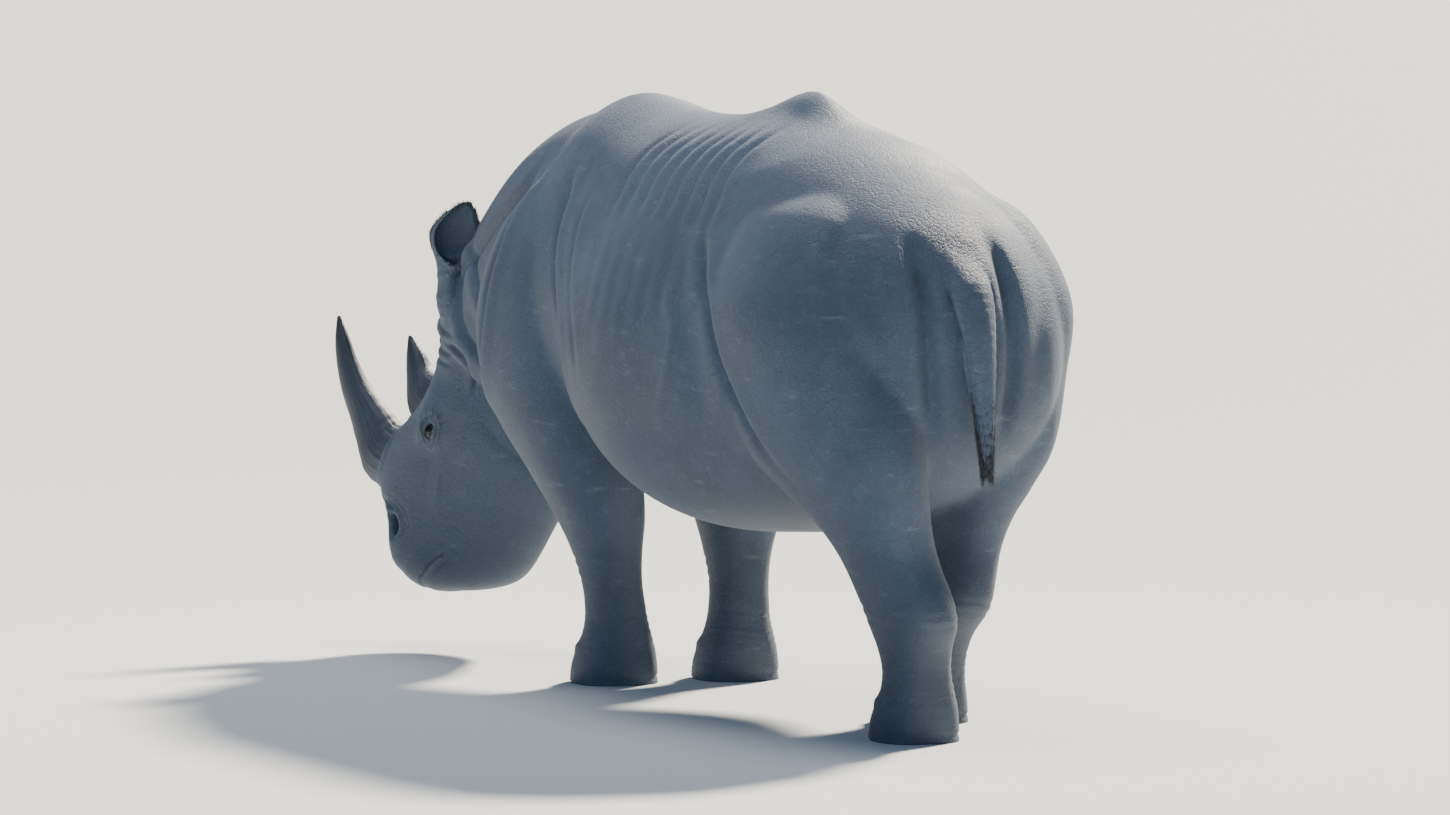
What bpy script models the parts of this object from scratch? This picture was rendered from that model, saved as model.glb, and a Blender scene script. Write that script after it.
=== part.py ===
"""White rhinoceros, adult, standing with its head down to graze, at life size.

The animal faces -Y, its left side is +X, and it stands on z = 0. The flesh is modelled whole: each
limb, the trunk, the neck and the head are lofts through named sections, a voxel remesh joins them
into one body, and thin cuts then part it into the named pieces. Horns, eyes, ears, nails and the
tail are solids of their own, seated in sockets. All sizes are in metres.
"""

import math

import bmesh
import bpy
import numpy as np
from mathutils import Matrix, Vector

# ---------------------------------------------------------------- driving dimensions
GAP = 0.0004  # clearance between neighbouring pieces
SEAT_SPREAD = 1.5  # gaps that a seat's points move outwards, so that its flat faces clear by one
BODY_VOXEL = 0.014  # grid of the remesh that joins the lofts
BODY_TRIANGLES = 2500  # faces of the whole body before it is parted
SMOOTH_STEPS = 16  # relaxing of the joins between the lofts

CREST_HEIGHT = 0.066  # of the narrow crest of the spine over the croup
CREST_PLACE = 0.32  # of its peak along the body
CREST_REACH = (0.26, 0.13)  # how far it runs before and behind its peak
CREST_WIDTH = 0.065
CREST_FOOT = 1.3  # level above which the crest is raised

HEAD_PITCH = 62.0  # degrees that the head's long axis points below the horizon
HEAD_YAW = 30.0  # degrees that the head is turned to the animal's left
POLL = Vector((0.13, -1.68, 1.255))  # top of the skull, between the ears
NECK_ROOT = Vector((0.0, -1.03, 1.20))  # a point on the cut between the trunk and the neck
NECK_ROOT_LEAN = 12.0  # degrees that the top of that cut leans back
HEAD_ROOT = -0.05  # distance from the poll at which the head is cut from the neck, on top
HEAD_ROOT_LEAN = 24.0  # degrees that the foot of that cut leans towards the muzzle
MOUTH_LEVEL = -0.29  # height of the mouth's line below the line of the skull
MOUTH_CORNER = 0.82  # distance of the mouth's corner from the poll
JAW_ROOT = 0.42  # distance of the jaw's hind end from the poll
JAW_DROP = 0.13  # how far the cut falls from the mouth's corner to the jaw's hind end
JAW_THROAT = 0.10  # how far it runs back from there to the throat

ELBOW_LEVEL = 0.66  # cut between the upper and the lower foreleg
STIFLE_LEVEL = 0.60  # cut between the upper and the lower hind leg
FETLOCK_LEVEL = 0.165  # cut between the leg and the foot
FOOT_TOP = 0.12  # below this a foot moves as one
SHOULDER_LEVEL = 1.36  # top of the forelegs' cut out of the trunk
HIP_LEVEL = 1.40  # top of the hind legs' cut out of the trunk

EYE_RADIUS = 0.026
EYE_PLACE = Vector((0.160, -0.545, -0.170))  # left eye on the head: left, towards the poll, up
EAR_PLACE = Vector((0.155, -0.152, -0.078))  # root of the left ear on the head
EAR_LENGTH = 0.322
EAR_LEAN = 0.16  # how far an ear leans outwards for its length
EAR_TURN = 56.0  # degrees that an ear's mouth is turned from backwards to outwards
NAIL_ANGLES = (-54.0, 0.0, 54.0)  # of the three nails round the front of a foot
NAIL_HALF_WIDTHS = (0.036, 0.052, 0.036)
NAIL_HEIGHT = 0.082
NAIL_STAND = 0.010  # how far a nail stands out of the foot
NAIL_ROOT = 0.022  # how far a nail reaches into the foot in front of its middle
NAIL_BACK = 0.03  # and behind it
NAIL_LIFT = 0.006  # height of a nail's lower edge over the floor


# ---------------------------------------------------------------- scene
def clear_scene():
    for obj in list(bpy.data.objects):
        bpy.data.objects.remove(obj, do_unlink=True)


def new_collection(name):
    made = bpy.data.collections.new(name)
    bpy.context.scene.collection.children.link(made)
    return made


PAINTS = {
    # colour, roughness, metallic
    "hide": ((0.16, 0.18, 0.20), 0.85, 0.0),
    "horn": ((0.10, 0.09, 0.085), 0.55, 0.0),
    "nail": ((0.14, 0.125, 0.11), 0.50, 0.0),
    "eyeball": ((0.015, 0.010, 0.008), 0.12, 0.0),
}


def painted(obj, kind):
    """Gives an object a material of its own."""
    colour, roughness, metallic = PAINTS[kind]
    made = bpy.data.materials.new(f"{obj.name}_{kind}")
    made.use_nodes = True
    shader = made.node_tree.nodes["Principled BSDF"]
    shader.inputs["Base Color"].default_value = (*colour, 1.0)
    shader.inputs["Roughness"].default_value = roughness
    shader.inputs["Metallic"].default_value = metallic
    made.diffuse_color = (*colour, 1.0)
    obj.data.materials.clear()
    obj.data.materials.append(made)
    return obj


clear_scene()
PARTS = new_collection("rhinoceros")
CUTTERS = new_collection("cutters")


# ---------------------------------------------------------------- lofts
def smooth_rows(rows, steps):
    """Catmull-Rom through the rows of a table, with that many spans between two rows."""
    rows = np.asarray(rows, float)
    padded = np.vstack([2 * rows[0] - rows[1], rows, 2 * rows[-1] - rows[-2]])
    share = np.linspace(0, 1, steps, endpoint=False)[:, None]
    spans = []
    for i in range(len(rows) - 1):
        a, b, c, d = padded[i : i + 4]
        bend = (2 * a - 5 * b + 4 * c - d) * share**2 + (3 * b - a - 3 * c + d) * share**3
        spans.append(0.5 * (2 * b + (c - a) * share + bend))
    return np.vstack([*spans, rows[-1:]])


def signed_power(value, power):
    return np.sign(value) * np.abs(value) ** power


def ring_points(x, y, z, pitch, yaw, half_width, up, down, n_up, n_down, sides):
    """A superellipse ring: half_width to each side, up and down from its centre, each half with its
    own exponent. Pitch 0 stands the ring upright across the body and 90 lays it flat, with up forward."""
    turn = np.linspace(0, 2 * math.pi, sides, endpoint=False)
    top = np.sin(turn) >= 0
    power = 2.0 / np.where(top, n_up, n_down)
    across = half_width * signed_power(np.cos(turn), power)
    along = np.where(top, up, down) * signed_power(np.sin(turn), power)
    p, w = math.radians(pitch), math.radians(yaw)
    side = np.array([math.cos(w), math.sin(w), 0.0])
    rise = np.array([math.sin(p) * math.sin(w), -math.sin(p) * math.cos(w), math.cos(p)])
    return np.array([x, y, z]) + across[:, None] * side + along[:, None] * rise


def add_mesh(name, points, faces):
    mesh = bpy.data.meshes.new(name)
    mesh.from_pydata([tuple(p) for p in points], [], faces)
    work = bmesh.new()
    work.from_mesh(mesh)
    bmesh.ops.recalc_face_normals(work, faces=work.faces)
    bmesh.ops.triangulate(work, faces=work.faces, quad_method="FIXED")
    work.to_mesh(mesh)
    work.free()
    mesh.shade_smooth()
    made = bpy.data.objects.new(name, mesh)
    PARTS.objects.link(made)
    return made


def skin_rings(rings, name):
    """A closed tube through rings of equal size, its ends closed by one flat face each."""
    count, sides = rings.shape[:2]
    ids = np.arange(count * sides).reshape(count, sides)
    ahead = np.roll(ids, -1, axis=1)
    quads = np.stack([ids[:-1], ahead[:-1], ahead[1:], ids[1:]], axis=-1).reshape(-1, 4)
    faces = [tuple(q) for q in quads.tolist()]
    faces += [tuple(ids[0][::-1].tolist()), tuple(ids[-1].tolist())]
    return add_mesh(name, rings.reshape(-1, 3), faces)


def loft(name, rows, sides=40, steps=5):
    """Rows of x, y, z, pitch, yaw, half width, up, down, exponent up, exponent down."""
    rings = np.array([ring_points(*row, sides) for row in smooth_rows(rows, steps)])
    return skin_rings(rings, name)


# ---------------------------------------------------------------- trunk and neck
def trunk_rows():
    """From the rump forwards: y, top, widest level, bottom, half width, exponents of back and belly."""
    table = [
        (1.275, 1.10, 1.03, 0.94, 0.08, 2.0, 2.0),
        (1.25, 1.21, 1.05, 0.84, 0.20, 2.0, 2.0),
        (1.19, 1.33, 1.06, 0.75, 0.30, 2.1, 2.2),
        (1.09, 1.44, 1.08, 0.68, 0.38, 2.1, 2.2),
        (0.95, 1.535, 1.08, 0.62, 0.44, 2.0, 2.2),
        (0.74, 1.628, 1.06, 0.56, 0.475, 2.1, 2.2),
        (0.54, 1.672, 1.03, 0.53, 0.50, 2.1, 2.2),
        (0.30, 1.715, 1.00, 0.51, 0.54, 1.85, 2.2),
        (0.05, 1.708, 0.98, 0.50, 0.570, 1.8, 2.2),
        (-0.20, 1.70, 1.01, 0.535, 0.545, 1.9, 2.1),
        (-0.50, 1.71, 1.14, 0.605, 0.462, 1.9, 1.9),
        (-0.82, 1.755, 1.14, 0.66, 0.425, 1.75, 2.0),
        (-1.02, 1.69, 1.10, 0.72, 0.36, 1.8, 2.2),
        (-1.20, 1.54, 1.12, 0.80, 0.24, 2.0, 2.2),
    ]
    return [
        (0.0, y, wide, 0, 0, half, top - wide, wide - low, n_back, n_belly)
        for y, top, wide, low, half, n_back, n_belly in table
    ]


def raise_crest(obj):
    """The spine stands up over the croup as a narrow crest, steeper behind its peak than before it."""
    for vert in obj.data.vertices:
        if vert.co.z > CREST_FOOT:
            away = vert.co.y - CREST_PLACE
            along = math.exp(-((away / CREST_REACH[away > 0]) ** 2))
            vert.co.z += CREST_HEIGHT * along * math.exp(-((vert.co.x / CREST_WIDTH) ** 2))
    return obj


def neck_rows():
    """From inside the shoulders to inside the skull, bending down and to the left."""
    return [
        (0.00, -0.70, 1.16, 0, 0, 0.40, 0.53, 0.46, 1.9, 2.2),
        (0.00, -0.98, 1.16, 8, 3, 0.35, 0.545, 0.46, 1.9, 2.2),
        (0.03, -1.20, 1.11, 20, 8, 0.30, 0.51, 0.42, 1.9, 2.2),
        (0.07, -1.38, 1.04, 34, 15, 0.235, 0.41, 0.37, 2.0, 2.2),
        (0.11, -1.52, 0.97, 46, 22, 0.195, 0.30, 0.33, 2.1, 2.2),
        (0.15, -1.62, 0.91, 55, 27, 0.17, 0.22, 0.28, 2.1, 2.2),
    ]


# ---------------------------------------------------------------- head
def head_frame():
    """Matrix of the head: x to its left, -y along the skull to the muzzle, z out of the brow."""
    turn = Matrix.Rotation(math.radians(HEAD_YAW), 4, "Z")
    nod = Matrix.Rotation(math.radians(HEAD_PITCH), 4, "X")
    return Matrix.Translation(POLL) @ turn @ nod


def place_on_head(obj):
    obj.data.transform(head_frame())


def head_rows():
    """Down the skull: distance from the poll, brow, widest level, jaw, half width, exponents."""
    table = [
        (-0.06, -0.07, -0.18, -0.30, 0.10, 2.2, 2.2),
        (-0.01, -0.01, -0.16, -0.42, 0.150, 2.3, 2.2),
        (0.10, 0.02, -0.14, -0.50, 0.175, 2.3, 2.1),
        (0.24, 0.01, -0.14, -0.565, 0.180, 2.2, 2.0),
        (0.38, -0.03, -0.16, -0.605, 0.180, 2.1, 2.0),
        (0.52, -0.03, -0.17, -0.620, 0.180, 2.1, 2.0),
        (0.64, 0.02, -0.17, -0.610, 0.158, 2.1, 2.0),
        (0.75, 0.05, -0.17, -0.600, 0.142, 2.2, 2.2),
        (0.83, 0.02, -0.19, -0.582, 0.138, 2.2, 2.5),
        (0.89, -0.065, -0.22, -0.545, 0.140, 2.4, 2.8),
        (0.95, -0.115, -0.25, -0.475, 0.144, 2.7, 2.9),
        (1.00, -0.150, -0.265, -0.392, 0.130, 2.8, 2.8),
        (1.03, -0.190, -0.275, -0.335, 0.080, 2.6, 2.6),
    ]
    return [
        (0.0, -d, wide, 0, 0, half, brow - wide, wide - jaw, n_brow, n_jaw)
        for d, brow, wide, jaw, half, n_brow, n_jaw in table
    ]


# ---------------------------------------------------------------- legs
FORE_LEG = [
    # z, x, y, half width, front, back, exponent
    (1.56, 0.16, -0.80, 0.07, 0.12, 0.14, 2.0),
    (1.42, 0.26, -0.85, 0.12, 0.21, 0.23, 2.1),
    (1.22, 0.32, -0.87, 0.15, 0.26, 0.27, 2.2),
    (1.00, 0.335, -0.86, 0.165, 0.27, 0.28, 2.2),
    (0.80, 0.31, -0.82, 0.174, 0.265, 0.25, 2.2),
    (0.64, 0.27, -0.77, 0.158, 0.235, 0.18, 2.2),
    (0.50, 0.24, -0.76, 0.127, 0.180, 0.135, 2.2),
    (0.40, 0.23, -0.77, 0.103, 0.108, 0.112, 2.3),
    (0.30, 0.225, -0.770, 0.088, 0.082, 0.100, 2.2),
    (0.19, 0.22, -0.775, 0.093, 0.095, 0.098, 2.2),
    (0.11, 0.22, -0.79, 0.112, 0.118, 0.110, 2.3),
    (0.04, 0.22, -0.80, 0.125, 0.135, 0.118, 2.3),
    (-0.04, 0.22, -0.80, 0.125, 0.135, 0.118, 2.3),
]
HIND_LEG = [
    (1.52, 0.18, 0.70, 0.08, 0.12, 0.16, 2.0),
    (1.42, 0.255, 0.73, 0.15, 0.24, 0.27, 2.1),
    (1.20, 0.30, 0.76, 0.195, 0.33, 0.36, 2.2),
    (0.98, 0.30, 0.76, 0.205, 0.37, 0.39, 2.2),
    (0.80, 0.29, 0.77, 0.195, 0.33, 0.41, 2.2),
    (0.68, 0.27, 0.81, 0.16, 0.26, 0.345, 2.2),
    (0.59, 0.25, 0.86, 0.130, 0.20, 0.26, 2.2),
    (0.50, 0.235, 0.90, 0.115, 0.165, 0.21, 2.2),
    (0.40, 0.22, 0.93, 0.112, 0.150, 0.205, 2.2),
    (0.33, 0.215, 0.94, 0.106, 0.135, 0.190, 2.2),
    (0.25, 0.21, 0.94, 0.094, 0.108, 0.125, 2.2),
    (0.18, 0.21, 0.94, 0.093, 0.100, 0.102, 2.2),
    (0.11, 0.21, 0.93, 0.106, 0.118, 0.105, 2.3),
    (0.04, 0.21, 0.92, 0.118, 0.138, 0.112, 2.3),
    (-0.04, 0.21, 0.92, 0.118, 0.138, 0.112, 2.3),
]
# name: (table, side, foot moved left, foot moved forwards, shank bowed back, height it swings from)
LEGS = {
    "front_left": (FORE_LEG, 1, -0.03, -0.155, 0.0, 1.0),
    "front_right": (FORE_LEG, -1, 0.03, -0.20, 0.0, 1.0),
    "hind_left": (HIND_LEG, 1, -0.075, -0.27, 0.04, 1.2),
    "hind_right": (HIND_LEG, -1, 0.085, 0.17, 0.0, 1.2),
}


def leg_shift(name, z):
    """Below its pivot a leg moves with the foot, more so lower down: x and y shifts at a height."""
    _, _, left, forward, bow, pivot = LEGS[name]
    share = min(1.0, max(0.0, (pivot - z) / (pivot - FOOT_TOP)))
    return left * share, 4 * bow * share * (1 - share) - forward * share


def leg_rows(name):
    """Flat rings down the leg."""
    table, side, *_ = LEGS[name]
    rows = []
    for z, x, y, half, front, back, n in table:
        across, along = leg_shift(name, z)
        rows.append((side * x + across, y + along, z, 90, 0, half, front, back, n, n))
    return rows


# ---------------------------------------------------------------- the whole body
def join(objects, name):
    mesh = bpy.data.meshes.new(name)
    work = bmesh.new()
    for obj in objects:
        work.from_mesh(obj.data)
        bpy.data.objects.remove(obj, do_unlink=True)
    work.to_mesh(mesh)
    work.free()
    made = bpy.data.objects.new(name, mesh)
    PARTS.objects.link(made)
    return made


def applied(obj):
    """The object with its modifiers made part of its mesh."""
    graph = bpy.context.evaluated_depsgraph_get()
    mesh = bpy.data.meshes.new_from_object(obj.evaluated_get(graph))
    obj.modifiers.clear()
    obj.data = mesh
    return obj


def build_body():
    pieces = [raise_crest(loft("trunk_form", trunk_rows(), sides=64)), loft("neck_form", neck_rows())]
    head = loft("head_form", head_rows())
    place_on_head(head)
    pieces.append(head)
    pieces += [loft(name, leg_rows(name)) for name in LEGS]
    body = join(pieces, "body")
    remesh = body.modifiers.new("join", "REMESH")
    remesh.mode = "VOXEL"
    remesh.voxel_size = BODY_VOXEL
    relax = body.modifiers.new("relax", "SMOOTH")
    relax.factor = 0.5
    relax.iterations = SMOOTH_STEPS
    applied(body)
    thin = body.modifiers.new("thin", "DECIMATE")
    thin.ratio = BODY_TRIANGLES / (2 * len(body.data.polygons))
    applied(body)
    body.data.shade_smooth()
    return body


# ---------------------------------------------------------------- parting
FIT = ("snug", "wide")  # a region keeps a piece snugly, and clears its neighbour widely


def swollen(source, name, extra=GAP):
    """A copy of a closed shape grown outwards on all sides, to cut a seat with clearance."""
    made = bpy.data.objects.new(name, source.data.copy())
    mesh = made.data
    points = np.empty(3 * len(mesh.vertices))
    mesh.vertices.foreach_get("co", points)
    normals = np.array([v.normal[:] for v in mesh.vertices]).ravel()
    mesh.vertices.foreach_set("co", points + SEAT_SPREAD * extra * normals)
    return as_cutter(made)


def as_cutter(obj):
    for holder in list(obj.users_collection):
        holder.objects.unlink(obj)
    CUTTERS.objects.link(obj)
    obj.hide_render = True
    obj.display_type = "WIRE"
    return obj


def block(name, low, high, place=None):
    """A box between two corners, turned and moved by a matrix."""
    low, high = Vector(low), Vector(high)
    work = bmesh.new()
    bmesh.ops.create_cube(work, size=1.0)
    fit = Matrix.Translation((low + high) / 2) @ Matrix.Diagonal((*(high - low), 1.0))
    bmesh.ops.transform(work, matrix=(place or Matrix()) @ fit, verts=work.verts)
    mesh = bpy.data.meshes.new(name)
    work.to_mesh(mesh)
    work.free()
    return as_cutter(bpy.data.objects.new(name, mesh))


def boolean(obj, operation, other):
    cut = obj.modifiers.new(f"{operation.lower()} {other.name}", "BOOLEAN")
    cut.operation = operation
    cut.solver = "EXACT"
    cut.object = other
    return cut


def keep_largest(obj):
    """Drops the crumbs that a seat near an edge can leave."""
    work = bmesh.new()
    work.from_mesh(obj.data)
    waiting = set(work.verts)
    islands = []
    while waiting:
        island, front = set(), [waiting.pop()]
        while front:
            vert = front.pop()
            island.add(vert)
            reached = {edge.other_vert(vert) for edge in vert.link_edges} & waiting
            waiting -= reached
            front.extend(reached)
        islands.append(island)
    islands.sort(key=len)
    crumbs = [vert for island in islands[:-1] for vert in island]
    bmesh.ops.delete(work, geom=crumbs, context="VERTS")
    work.to_mesh(obj.data)
    work.free()


def flesh(name, body, inside=(), outside=()):
    """A node of the body: what lies inside some regions and outside others."""
    piece = bpy.data.objects.new(name, body.data.copy())
    PARTS.objects.link(piece)
    for region in inside:
        boolean(piece, "INTERSECT", region)
    for region in outside:
        boolean(piece, "DIFFERENCE", region)
    applied(piece)
    keep_largest(piece)
    return painted(piece, "hide")


def neck_region(extra):
    """All that lies in front of the neck's root."""
    lean = Matrix.Rotation(math.radians(NECK_ROOT_LEAN), 4, "X")
    place = Matrix.Translation(NECK_ROOT) @ lean
    return block(f"neck_region_{FIT[extra > 0]}", (-0.8, -2.2, -1.2), (0.8, extra, 0.9), place)


def head_region(extra):
    """All that lies in front of the back of the ears and the throat."""
    lean = Matrix.Rotation(math.radians(-HEAD_ROOT_LEAN), 4, "X")
    place = head_frame() @ Matrix.Translation((0, -HEAD_ROOT, 0)) @ lean
    return block(f"head_region_{FIT[extra > 0]}", (-0.5, -1.6, -0.9), (0.5, extra, 0.6), place)


def jaw_region(extra):
    """Below the mouth in front, and below a line that falls to the throat behind its corner."""
    work = bmesh.new()
    edge = MOUTH_LEVEL + extra
    outline = [
        (1.4, edge),
        (MOUTH_CORNER, edge),
        (JAW_ROOT - extra, MOUTH_LEVEL - JAW_DROP + extra),
        (JAW_ROOT - JAW_THROAT - extra, -0.9),
        (1.4, -0.9),
    ]
    ring = [work.verts.new((-0.4, -d, z)) for d, z in outline]
    side = bmesh.ops.extrude_face_region(work, geom=[work.faces.new(ring)])["geom"]
    shifted = [v for v in side if isinstance(v, bmesh.types.BMVert)]
    bmesh.ops.translate(work, vec=(0.8, 0, 0), verts=shifted)
    bmesh.ops.recalc_face_normals(work, faces=work.faces)
    mesh = bpy.data.meshes.new("jaw_region")
    work.to_mesh(mesh)
    work.free()
    mesh.transform(head_frame())
    return as_cutter(bpy.data.objects.new(f"jaw_region_{FIT[extra > 0]}", mesh))


FORE_REGION = [
    # z, inner edge, front, back
    (-0.20, 0.008, -1.10, -0.35),
    (0.46, 0.010, -1.10, -0.35),
    (0.55, 0.030, -1.06, -0.57),
    (0.72, 0.070, -1.06, -0.55),
    (0.90, 0.150, -1.12, -0.53),
    (1.10, 0.205, -1.14, -0.56),
    (SHOULDER_LEVEL, 0.235, -1.06, -0.64),
]
HIND_REGION = [
    (-0.20, 0.008, 0.45, 1.60),
    (0.44, 0.010, 0.45, 1.60),
    (0.52, 0.020, 0.68, 1.60),
    (0.68, 0.055, 0.53, 1.50),
    (0.85, 0.130, 0.41, 1.45),
    (1.10, 0.210, 0.36, 1.32),
    (HIP_LEVEL, 0.250, 0.46, 1.06),
]
RIGHT_HIND_SHIFT = 0.006  # the right hind foot stands this much across the middle
REGION_REACH = 0.80  # outer side of the legs' regions, clear of the flesh
REGION_CORNERS = 40  # exponent of a ring with nearly square corners


def leg_region(name, extra):
    """A rounded wedge round one leg, leaning outwards over the trunk to the shoulder or the hip."""
    table, side, *_ = LEGS[name]
    shift = RIGHT_HIND_SHIFT if name == "hind_right" else 0.0
    rows = []
    for z, inner, front, back in FORE_REGION if table is FORE_LEG else HIND_REGION:
        inner = inner - shift - extra
        half = (REGION_REACH - inner) / 2
        reach = (back - front) / 2 + extra
        middle = (front + back) / 2 + leg_shift(name, z)[1]
        top = extra if z in (SHOULDER_LEVEL, HIP_LEVEL) else 0.0
        ring = (half, reach, reach, REGION_CORNERS, REGION_CORNERS)
        rows.append((side * (inner + half), middle, z + top, 90, 0, *ring))
    return as_cutter(loft(f"{name}_region_{FIT[extra > 0]}", rows, sides=8, steps=1))


# ---------------------------------------------------------------- horns, eyes, ears, nails, tail
FRONT_HORN = [
    # distance down the skull, height off it, lean of the ring, half width, front, back
    (0.758, -0.045, 90, 0.088, 0.100, 0.108),
    (0.758, 0.010, 88, 0.087, 0.102, 0.106),
    (0.754, 0.066, 83, 0.079, 0.098, 0.098),
    (0.722, 0.124, 72, 0.062, 0.076, 0.080),
    (0.683, 0.186, 62, 0.049, 0.059, 0.060),
    (0.640, 0.256, 55, 0.040, 0.047, 0.046),
    (0.585, 0.321, 47, 0.031, 0.035, 0.034),
    (0.530, 0.371, 42, 0.021, 0.024, 0.023),
    (0.474, 0.416, 38, 0.005, 0.006, 0.006),
]
REAR_HORN = [
    (0.526, -0.095, 90, 0.070, 0.094, 0.092),
    (0.525, -0.030, 89, 0.069, 0.092, 0.088),
    (0.516, 0.012, 80, 0.062, 0.080, 0.076),
    (0.480, 0.054, 64, 0.045, 0.050, 0.048),
    (0.437, 0.099, 52, 0.028, 0.029, 0.032),
    (0.392, 0.145, 45, 0.005, 0.006, 0.006),
]
EAR = [
    # share of the length, half width, half depth
    (-0.16, 0.064, 0.050),
    (0.00, 0.073, 0.052),
    (0.10, 0.075, 0.050),
    (0.24, 0.065, 0.045),
    (0.42, 0.062, 0.044),
    (0.60, 0.073, 0.044),
    (0.76, 0.076, 0.038),
    (0.90, 0.050, 0.024),
    (1.00, 0.016, 0.008),
]
EAR_HOLLOW = [
    # share of the length, half width, half depth, how far it is moved to the ear's mouth
    (0.38, 0.018, 0.014, 0.020),
    (0.48, 0.042, 0.027, 0.026),
    (0.62, 0.060, 0.035, 0.027),
    (0.77, 0.060, 0.031, 0.024),
    (0.90, 0.038, 0.022, 0.020),
    (1.02, 0.008, 0.010, 0.010),
]
EAR_TIP_SHIFT = 0.046  # the ear's tip lies towards the back of the head
TAIL = [
    # y, z, degrees below the horizon, half width, half depth
    (0.96, 1.410, 24, 0.056, 0.046),
    (1.06, 1.372, 36, 0.064, 0.048),
    (1.15, 1.312, 50, 0.070, 0.048),
    (1.232, 1.225, 63, 0.066, 0.045),
    (1.290, 1.110, 74, 0.047, 0.036),
    (1.322, 0.960, 80, 0.034, 0.028),
    (1.340, 0.840, 84, 0.023, 0.020),
    (1.350, 0.740, 86, 0.009, 0.010),
]


def horn(name, table):
    """Rings across a horn that rises off the skull and curves back over it."""
    rows = [(0, -d, h, lean, 0, half, front, back, 2, 2) for d, h, lean, half, front, back in table]
    made = loft(name, rows, sides=10, steps=2)
    place_on_head(made)
    return painted(made, "horn")


def eye(name, side):
    work = bmesh.new()
    bmesh.ops.create_uvsphere(work, u_segments=10, v_segments=6, radius=EYE_RADIUS)
    centre = Vector((side * EYE_PLACE.x, EYE_PLACE.y, EYE_PLACE.z))
    bmesh.ops.transform(work, matrix=head_frame() @ Matrix.Translation(centre), verts=work.verts)
    mesh = bpy.data.meshes.new(name)
    work.to_mesh(mesh)
    work.free()
    mesh.shade_smooth()
    made = bpy.data.objects.new(name, mesh)
    PARTS.objects.link(made)
    return painted(made, "eyeball")


def ear_place(side):
    """Matrix of an ear: z to its tip, y out of its mouth."""
    root = head_frame() @ Vector((side * EAR_PLACE.x, EAR_PLACE.y, EAR_PLACE.z))
    turn = math.radians(EAR_TURN)
    mouth = Vector((side * math.sin(turn), math.cos(turn), 0.0))
    tip = Vector((side * EAR_LEAN, 0.0, 1.0)).normalized()
    head_turn = Matrix.Rotation(math.radians(HEAD_YAW), 3, "Z")
    mouth, tip = head_turn @ mouth, head_turn @ tip
    mouth = (mouth - mouth.dot(tip) * tip).normalized()
    across = mouth.cross(tip)
    return Matrix.Translation(root) @ Matrix((across, mouth, tip)).transposed().to_4x4()


def ear_aside(side, share):
    """The upper half of an ear curls over to one side."""
    return -side * EAR_TIP_SHIFT * max(0.0, 2 * share - 1) ** 3


def ear(name, side):
    """A tube that widens to a cup with a pointed tip."""
    rows = []
    for share, half, depth in EAR:
        aside = ear_aside(side, share)
        rows.append((aside, 0, share * EAR_LENGTH, 90, 0, half, depth, depth, 2, 2))
    made = loft(name, rows, sides=12, steps=1)
    hollow_rows = []
    for share, half, depth, out in EAR_HOLLOW:
        aside = ear_aside(side, share)
        hollow_rows.append((aside, out, share * EAR_LENGTH, 90, 0, half, depth, depth, 2, 2))
    hollow = as_cutter(loft(f"{name}_hollow", hollow_rows, sides=10, steps=1))
    made.data.transform(ear_place(side))
    hollow.data.transform(ear_place(side))
    boolean(made, "DIFFERENCE", hollow)
    return painted(made, "hide")


def nail(name, leg, angle, half):
    """A thick plate that stands on the front rim of a foot."""
    x, y, z, _, _, foot_half, front, _, _, _ = leg_rows(leg)[-2]
    turn = math.radians(angle)
    outline = [
        # height, share of the half width, how far it stands in front of the rim
        (NAIL_LIFT, 1.00, NAIL_STAND),
        (0.65 * NAIL_HEIGHT, 0.90, 0.8 * NAIL_STAND),
        (NAIL_HEIGHT, 0.50, -0.3 * NAIL_STAND),
    ]
    rim = Vector((x + foot_half * math.sin(turn), y - front * math.cos(turn), 0.0))
    rows = [
        (0, 0, h, 90, 0, half * share, NAIL_ROOT + stand, NAIL_BACK, 2.4, 2.4)
        for h, share, stand in outline
    ]
    made = loft(name, rows, sides=8, steps=1)
    inward = Matrix.Translation((0, NAIL_ROOT, 0))
    made.data.transform(Matrix.Translation(rim) @ Matrix.Rotation(turn, 4, "Z") @ inward)
    return painted(made, "nail")


def tail():
    rows = [(0, y, z, -fall, 0, half, deep, deep, 2.2, 2.2) for y, z, fall, half, deep in TAIL]
    return painted(loft("tail", rows, sides=12, steps=2), "hide")


# ---------------------------------------------------------------- assembly
def build_leg(name, body, region):
    """Upper leg, lower leg and foot, with the foot's nails seated in it."""
    level = ELBOW_LEVEL if name.startswith("front") else STIFLE_LEVEL
    half_gap = GAP / 2
    span = 3.0
    upper = block(f"{name}_upper_band", (-span, -span, level + half_gap), (span, span, span))
    lower = block(
        f"{name}_lower_band",
        (-span, -span, FETLOCK_LEVEL + half_gap),
        (span, span, level - half_gap),
    )
    foot = block(f"{name}_foot_band", (-span, -span, 0.0), (span, span, FETLOCK_LEVEL - half_gap))
    flesh(f"leg_{name}_upper", body, inside=(region, upper))
    flesh(f"leg_{name}_lower", body, inside=(region, lower))
    seats = []
    for number, (angle, half) in enumerate(zip(NAIL_ANGLES, NAIL_HALF_WIDTHS), start=1):
        plate = nail(f"toenail_{name}_{number}", name, angle, half)
        seats.append(swollen(plate, f"{plate.name}_seat"))
    flesh(f"foot_{name}", body, inside=(region, foot), outside=seats)


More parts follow.
